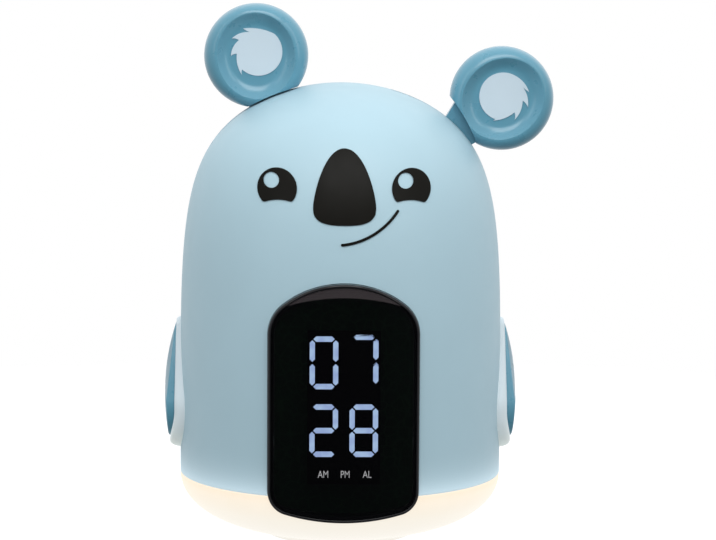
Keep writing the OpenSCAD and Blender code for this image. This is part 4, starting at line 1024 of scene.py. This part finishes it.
door = twin_of(whole_body, "battery_cover_panel")
carve(door, prism("door_shape", rounded_box(door_low.x, door_high.x, door_low.z, door_high.z, door_round, 8),
                  door_cut_in, cut_out), "INTERSECT")
carve(door, prism("screw_bore", circle(0, door_screw_z, door_screw_r), cut_in, cut_out))
carve(door, prism("screw_seat", circle(0, door_screw_z, door_head_r + fit_gap), door_seat_y, cut_out))
for k in range(3):
    grip_z = door_screw_z - grip_below - k * grip_pitch
    groove = prism("grip", rounded_box(-grip_half_w, grip_half_w, grip_z - grip_h / 2, grip_z + grip_h / 2,
                                       grip_round), cut_in, cut_out)
    carve(groove, collar("grip_band", body_r - grip_depth, body_r + 2 * mm, grip_z - 3 * mm, grip_z + 3 * mm),
          "INTERSECT")
    carve(door, groove)
flow_from(door, whole_body)
drop(whole_body, body_block, room)
fit(door, "battery_cover", "shell_blue", shell_blue, "battery_door")

# ---- Screws ----
# Zinc-plated pan-head screws with a cross recess: five through the shells, three up through the bowl, four
# that hold the chassis, and the door's own.
screw_shank_r, screw_head_t, cross_w, cross_depth = 1.2 * mm, 1.6 * mm, 0.55 * mm, 0.9 * mm
screw_point_r, screw_point_h, cross_share, dome_from = 0.15 * mm, 1.5 * mm, 0.6, 0.4
bowl_shank_r, bowl_head_r = 1.5 * mm, 2.9 * mm


def screw(x, y, seat, tip, along, shank_r=screw_shank_r, head_r=screw_head_r, head_t=screw_head_t):
    """A screw whose head stands outwards from its seat, along an axis, away from its tip."""
    out = 1 if seat > tip else -1
    dome = [(head_r * cos(a), seat + out * head_t * (dome_from + (1 - dome_from) * sin(a)))
            for a in np.linspace(0, pi * 0.47, 7)]
    shank = [(screw_point_r, tip), (shank_r, tip + out * screw_point_h), (shank_r, seat), (head_r, seat)]
    profile = shank + dome
    body = stack("screw", [(circle(x, y, r, 32), w) for r, w in profile], along)
    ends = sorted((seat + out * (head_t - cross_depth * head_t / screw_head_t), seat + out * 2 * head_t))
    arm = head_r * cross_share
    for half_w, half_h in ((arm, cross_w / 2), (cross_w / 2, arm)):
        carve(body, prism("cross", rounded_box(x - half_w, x + half_w, y - half_h, y + half_h, 0.1 * mm, 2),
                          *ends, along))
    return body


def brushed_metal(name, colour, rough, stretch=(1, 1, 14)):
    finish, tree = new_finish(name)
    lines = cloudy(tree, 2.5 * mm, 4, stretch)
    dress(tree, {"Base Color": two_tone(tree, lines, [c * 0.85 for c in colour], colour),
                 "Roughness": spread(tree, lines, rough - 0.06, rough + 0.08), "Metallic": 1})
    pitted(tree, lines, 0.01 * mm, 0.2)
    return finish


zinc = brushed_metal("screw_steel", (0.62, 0.62, 0.64), 0.32, (1, 1, 1))
shell_screw_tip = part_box("housing_screws")[0].y
shell_screws = merged("shell_screw_set", [screw(x, z, screw_seat_y, shell_screw_tip, "y")
                                          for x, z in housing_screws])
fit(soften(shell_screws, 35), "housing", "screw_steel", zinc, "housing_screws")
bowl_screw_low, bowl_screw_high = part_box("base_screws")
bowl_screws = merged("bowl_screw_set", [
    screw(*at_angle(bowl_screw_at, turn), bowl_well_top, bowl_screw_high.z, "z", bowl_shank_r, bowl_head_r,
          bowl_well_top - bowl_screw_low.z) for turn in bowl_screw_turns])
fit(soften(bowl_screws, 35), "housing", "screw_steel", zinc, "base_screws")
door_screw = screw(0, door_screw_z, door_seat_y, door_screw_low.y, "y",
                   head_t=door_screw_high.y - door_seat_y)
door_screw.name = "door_screw"
fit(soften(door_screw, 35), "battery_cover", "screw_steel", zinc, "battery_door_screw")
shade(zinc, "chassis_screws")

# ---- Rear buttons ----
# Five keys stand through the recessed control panel. Each cap is moulded white ABS with a softened edge and a
# printed sign: plus, minus, clock, bell and loudspeaker.
control_blue = moulded_plastic("control_blue", (0.33, 0.52, 0.61), rough=0.5, drift=0.02, strength=0.1)
shade(control_blue, "control_panel")
control_z = (control_low_z + control_high_z) / 2
key_r, key_pitch, key_edge = 3.4 * mm, 9 * mm, 0.5 * mm
key_back, key_front = (corner.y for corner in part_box("clock_button"))
sign_t = 0.1 * mm
sign_line = 0.26    # like all that draws the signs, in millimetres


def bar(x0, z0, x1, z1, half_w=sign_line):
    """A straight stroke with round ends."""
    turn = degrees(atan2(z1 - z0, x1 - x0))
    return arc(x1, z1, half_w, turn - 90, turn + 90, 8) + arc(x0, z0, half_w, turn + 90, turn + 270, 8)


def hoop(radius, half_w=sign_line, start=0, stop=360, steps=40):
    """A round stroke, as one outline for an open arc."""
    return arc(0, 0, radius + half_w, start, stop, steps) + arc(0, 0, radius - half_w, stop, start, steps)


def halves(radius):
    return [hoop(radius, sign_line, 0, 180), hoop(radius, sign_line, 180, 360)]


bell = (arc(0, 0.35, 0.95, 0, 180, 16)
        + bend((-0.95, 0.35), (-1.45, -0.95), -0.15) + bend((1.45, -0.95), (0.95, 0.35), -0.15))
speaker_sign = [(-1.7, -0.5), (-1.0, -0.5), (-0.1, -1.2), (-0.1, 1.2), (-1.0, 0.5), (-1.7, 0.5)]
key_signs = {
    "plus": (0, key_pitch, [bar(-1.4, 0, 1.4, 0), bar(0, 0.5, 0, 1.4), bar(0, -1.4, 0, -0.5)]),
    "minus": (0, -key_pitch, [bar(-1.4, 0, 1.4, 0)]),
    "clock": (-key_pitch, 0, halves(1.6) + [bar(0, 0, 0, 1.0), bar(0.4, 0, 0.8, 0)]),
    "alarm": (key_pitch, 0, [bell, bar(-0.35, -1.45, 0.35, -1.45)]),
    "volume": (0, 0, [speaker_sign, hoop(0.9, 0.18, -50, 50, 12), hoop(1.6, 0.18, -50, 50, 16)]),
}
key_white = moulded_plastic("key_white", (0.80, 0.84, 0.86), rough=0.38, drift=0.02, strength=0.05)
for word, (key_x, key_up, strokes) in key_signs.items():
    # The back view runs the other way across, so a sign is drawn mirrored to read from behind.
    profile = [(key_r, key_back)] + [(key_r - key_edge + x, key_front - key_edge + y)
                                     for x, y in arc(0, 0, key_edge, 0, 90, 6)]
    cap = stack(f"{word}_key_cap", [(circle(key_x, control_z + key_up, r, 64), y) for r, y in profile])
    fit(soften(cap, 35), f"{word}_key", "key_white", key_white, f"{word}_button")
    sign = merged(f"{word}_key_sign", [
        prism("stroke", [(key_x - x * mm, control_z + key_up + z * mm) for x, z in stroke],
              key_front - 0.02 * mm, key_front + sign_t) for stroke in strokes])
    fit(soften(sign), f"{word}_key", "print_black", lacquer)

# ---- Power socket, board and wiring ----
# The socket is a folded tinned shell at the back. Inside are green fibreglass boards, a white ring of lamps
# over the bowl, flat grey cables and the speaker. These solids are carried over and only get their finish.


def circuit_board(name, mask, track):
    """Solder mask with the faint raised lines of the tracks under it."""
    finish, tree = new_finish(name)
    tracks = add(tree, "TexVoronoi", {"Vector": spot_in(tree), "Scale": 260}, distance="MANHATTAN",
                 feature="DISTANCE_TO_EDGE").outputs["Distance"]
    dress(tree, {"Base Color": two_tone(tree, tracks, track, mask, 0.04, 0.09), "Roughness": 0.35})
    pitted(tree, tracks, 0.03 * mm, 0.3)
    return finish


def wrapped_cell(name, jacket, tip):
    """A foil-printed jacket that stops short of the cell's ends."""
    finish, tree = new_finish(name)
    cell_low_z, cell_high_z = 34 * mm, 74 * mm
    along = spread(tree, height_in(tree), 0, 1, cell_low_z, cell_high_z)
    dress(tree, {"Base Color": two_tone(tree, along, tip, jacket, 0.30, 0.31),
                 "Roughness": spread(tree, cloudy(tree, 4 * mm), 0.25, 0.4), "Metallic": 0.6})
    return finish


green_board = circuit_board("board_green", (0.02, 0.16, 0.06), (0.05, 0.26, 0.10))
shade(green_board, "display_board", "main_board", "arm_switch_boards")
shade(circuit_board("board_white", (0.78, 0.78, 0.76), (0.70, 0.69, 0.65)), "led_ring_board")
shade(wrapped_cell("cell_jacket", (0.42, 0.44, 0.47), (0.75, 0.60, 0.22)), "batteries")
for name, colour, rough, stretch, *nodes in (
        ("socket_steel", (0.68, 0.68, 0.70), 0.28, (1, 1, 14), "power_socket"),
        ("pin_steel", (0.66, 0.66, 0.68), 0.22, (1, 14, 1), "left_ear_pin", "right_ear_pin"),
        ("magnet_steel", (0.55, 0.55, 0.57), 0.35, (1, 1, 1), "speaker_magnet"),
        ("contact_plate", (0.78, 0.70, 0.46), 0.3, (1, 1, 14), "battery_contacts")):
    shade(brushed_metal(name, colour, rough, stretch), *nodes)
for name, colour, rough, more, *nodes in (
        ("inner_white", (0.78, 0.78, 0.77), 0.5, {}, "base_chassis", "battery_box"),
        ("led_yellow", (0.80, 0.62, 0.18), 0.3, {"drift": 0.1}, "night_leds"),
        ("chip_black", (0.02, 0.02, 0.02), 0.6, {"drift": 0.2}, "board_chips"),
        ("switch_dark", (0.03, 0.03, 0.03), 0.45, {}, "key_switches", "ear_switches"),
        ("cable_grey", (0.30, 0.30, 0.31), 0.5, {"grain": 0.8 * mm}, "ribbon_cables"),
        ("wire_red", (0.45, 0.02, 0.015), 0.4, {}, "speaker_wires"),
        ("speaker_black", (0.02, 0.02, 0.02), 0.4, {}, "speaker_frame"),
        ("cone_black", (0.04, 0.04, 0.04), 0.85, {"grain": 0.5 * mm, "strength": 0.4}, "speaker_cone")):
    shade(moulded_plastic(name, colour, rough, **more), *nodes)

# ---- Studio ----
# The clock stands on a plain pale floor in a white room, brightest above, and brighter behind the clock than
# behind the camera. One soft lamp hangs above and in front of it, and a tall one stands at each side.
level_light, back_light, side_light, top_light = 0.67, 0.30, 0.03, 0.46
room_light = bpy.data.worlds.new("white_room")
room_light.use_nodes = True
tree = room_light.node_tree
way = add(tree, "SeparateXYZ", {"Vector": add(tree, "TexCoord").outputs["Generated"]})
strength = level_light
for axis, gain in (("Y", back_light), ("X", side_light), ("Z", top_light)):
    strength = add(tree, "Math", {0: way.outputs[axis], 1: gain, 2: strength},
                   operation="MULTIPLY_ADD").outputs["Value"]
gradient = add(tree, "Background", {"Color": (0.97, 0.985, 1, 1), "Strength": strength})
plain = tree.nodes["Background"]
plug(tree, plain.inputs["Color"], (1, 1, 1, 1))
seen = add(tree, "MixShader", {"Fac": add(tree, "LightPath").outputs["Is Camera Ray"],
                               1: gradient.outputs["Background"], 2: plain.outputs["Background"]})
plug(tree, tree.nodes["World Output"].inputs["Surface"], seen.outputs["Shader"])
bpy.context.scene.world = room_light
bpy.context.scene.view_settings.view_transform = "Standard"

floor_r, floor_fade_from = 0.45, 0.15
floor = skin("floor", [around(floor_r, z) for z in (-mm, 0)])
pale, tree = new_finish("pale_floor")
away = add(tree, "VectorMath", {0: spot_in(tree)}, operation="LENGTH")
dress(tree, {"Alpha": spread(tree, away.outputs["Value"], 1, 0, floor_fade_from, floor_r),
             "Base Color": (0.8, 0.8, 0.8, 1), "Roughness": 0.9, "Specular IOR Level": 0,
             "Emission Color": (1, 1, 1, 1), "Emission Strength": 0.45})
floor.data.materials.append(pale)
floor.visible_diffuse = floor.visible_glossy = floor.visible_shadow = False


clock_middle = Vector((0, 0, 0.12))


def soft_lamp(name, at, width, height, watts):
    """An oblong lamp that shines on the clock's middle."""
    lamp = bpy.data.lights.new(name, "AREA")
    lamp.shape = "RECTANGLE"
    lamp.size, lamp.size_y, lamp.energy = width, height, watts
    stand(name, lamp).matrix_world = looking(Vector(at), clock_middle)


soft_lamp("key_lamp", (0.02, -0.42, 0.50), 0.36, 0.36, 1.35)
for side, watts in ((-1, 0.9), (1, 1.1)):
    soft_lamp("side_lamp", (side * 0.75, -0.75, 0.50), 0.22, 0.75, watts)
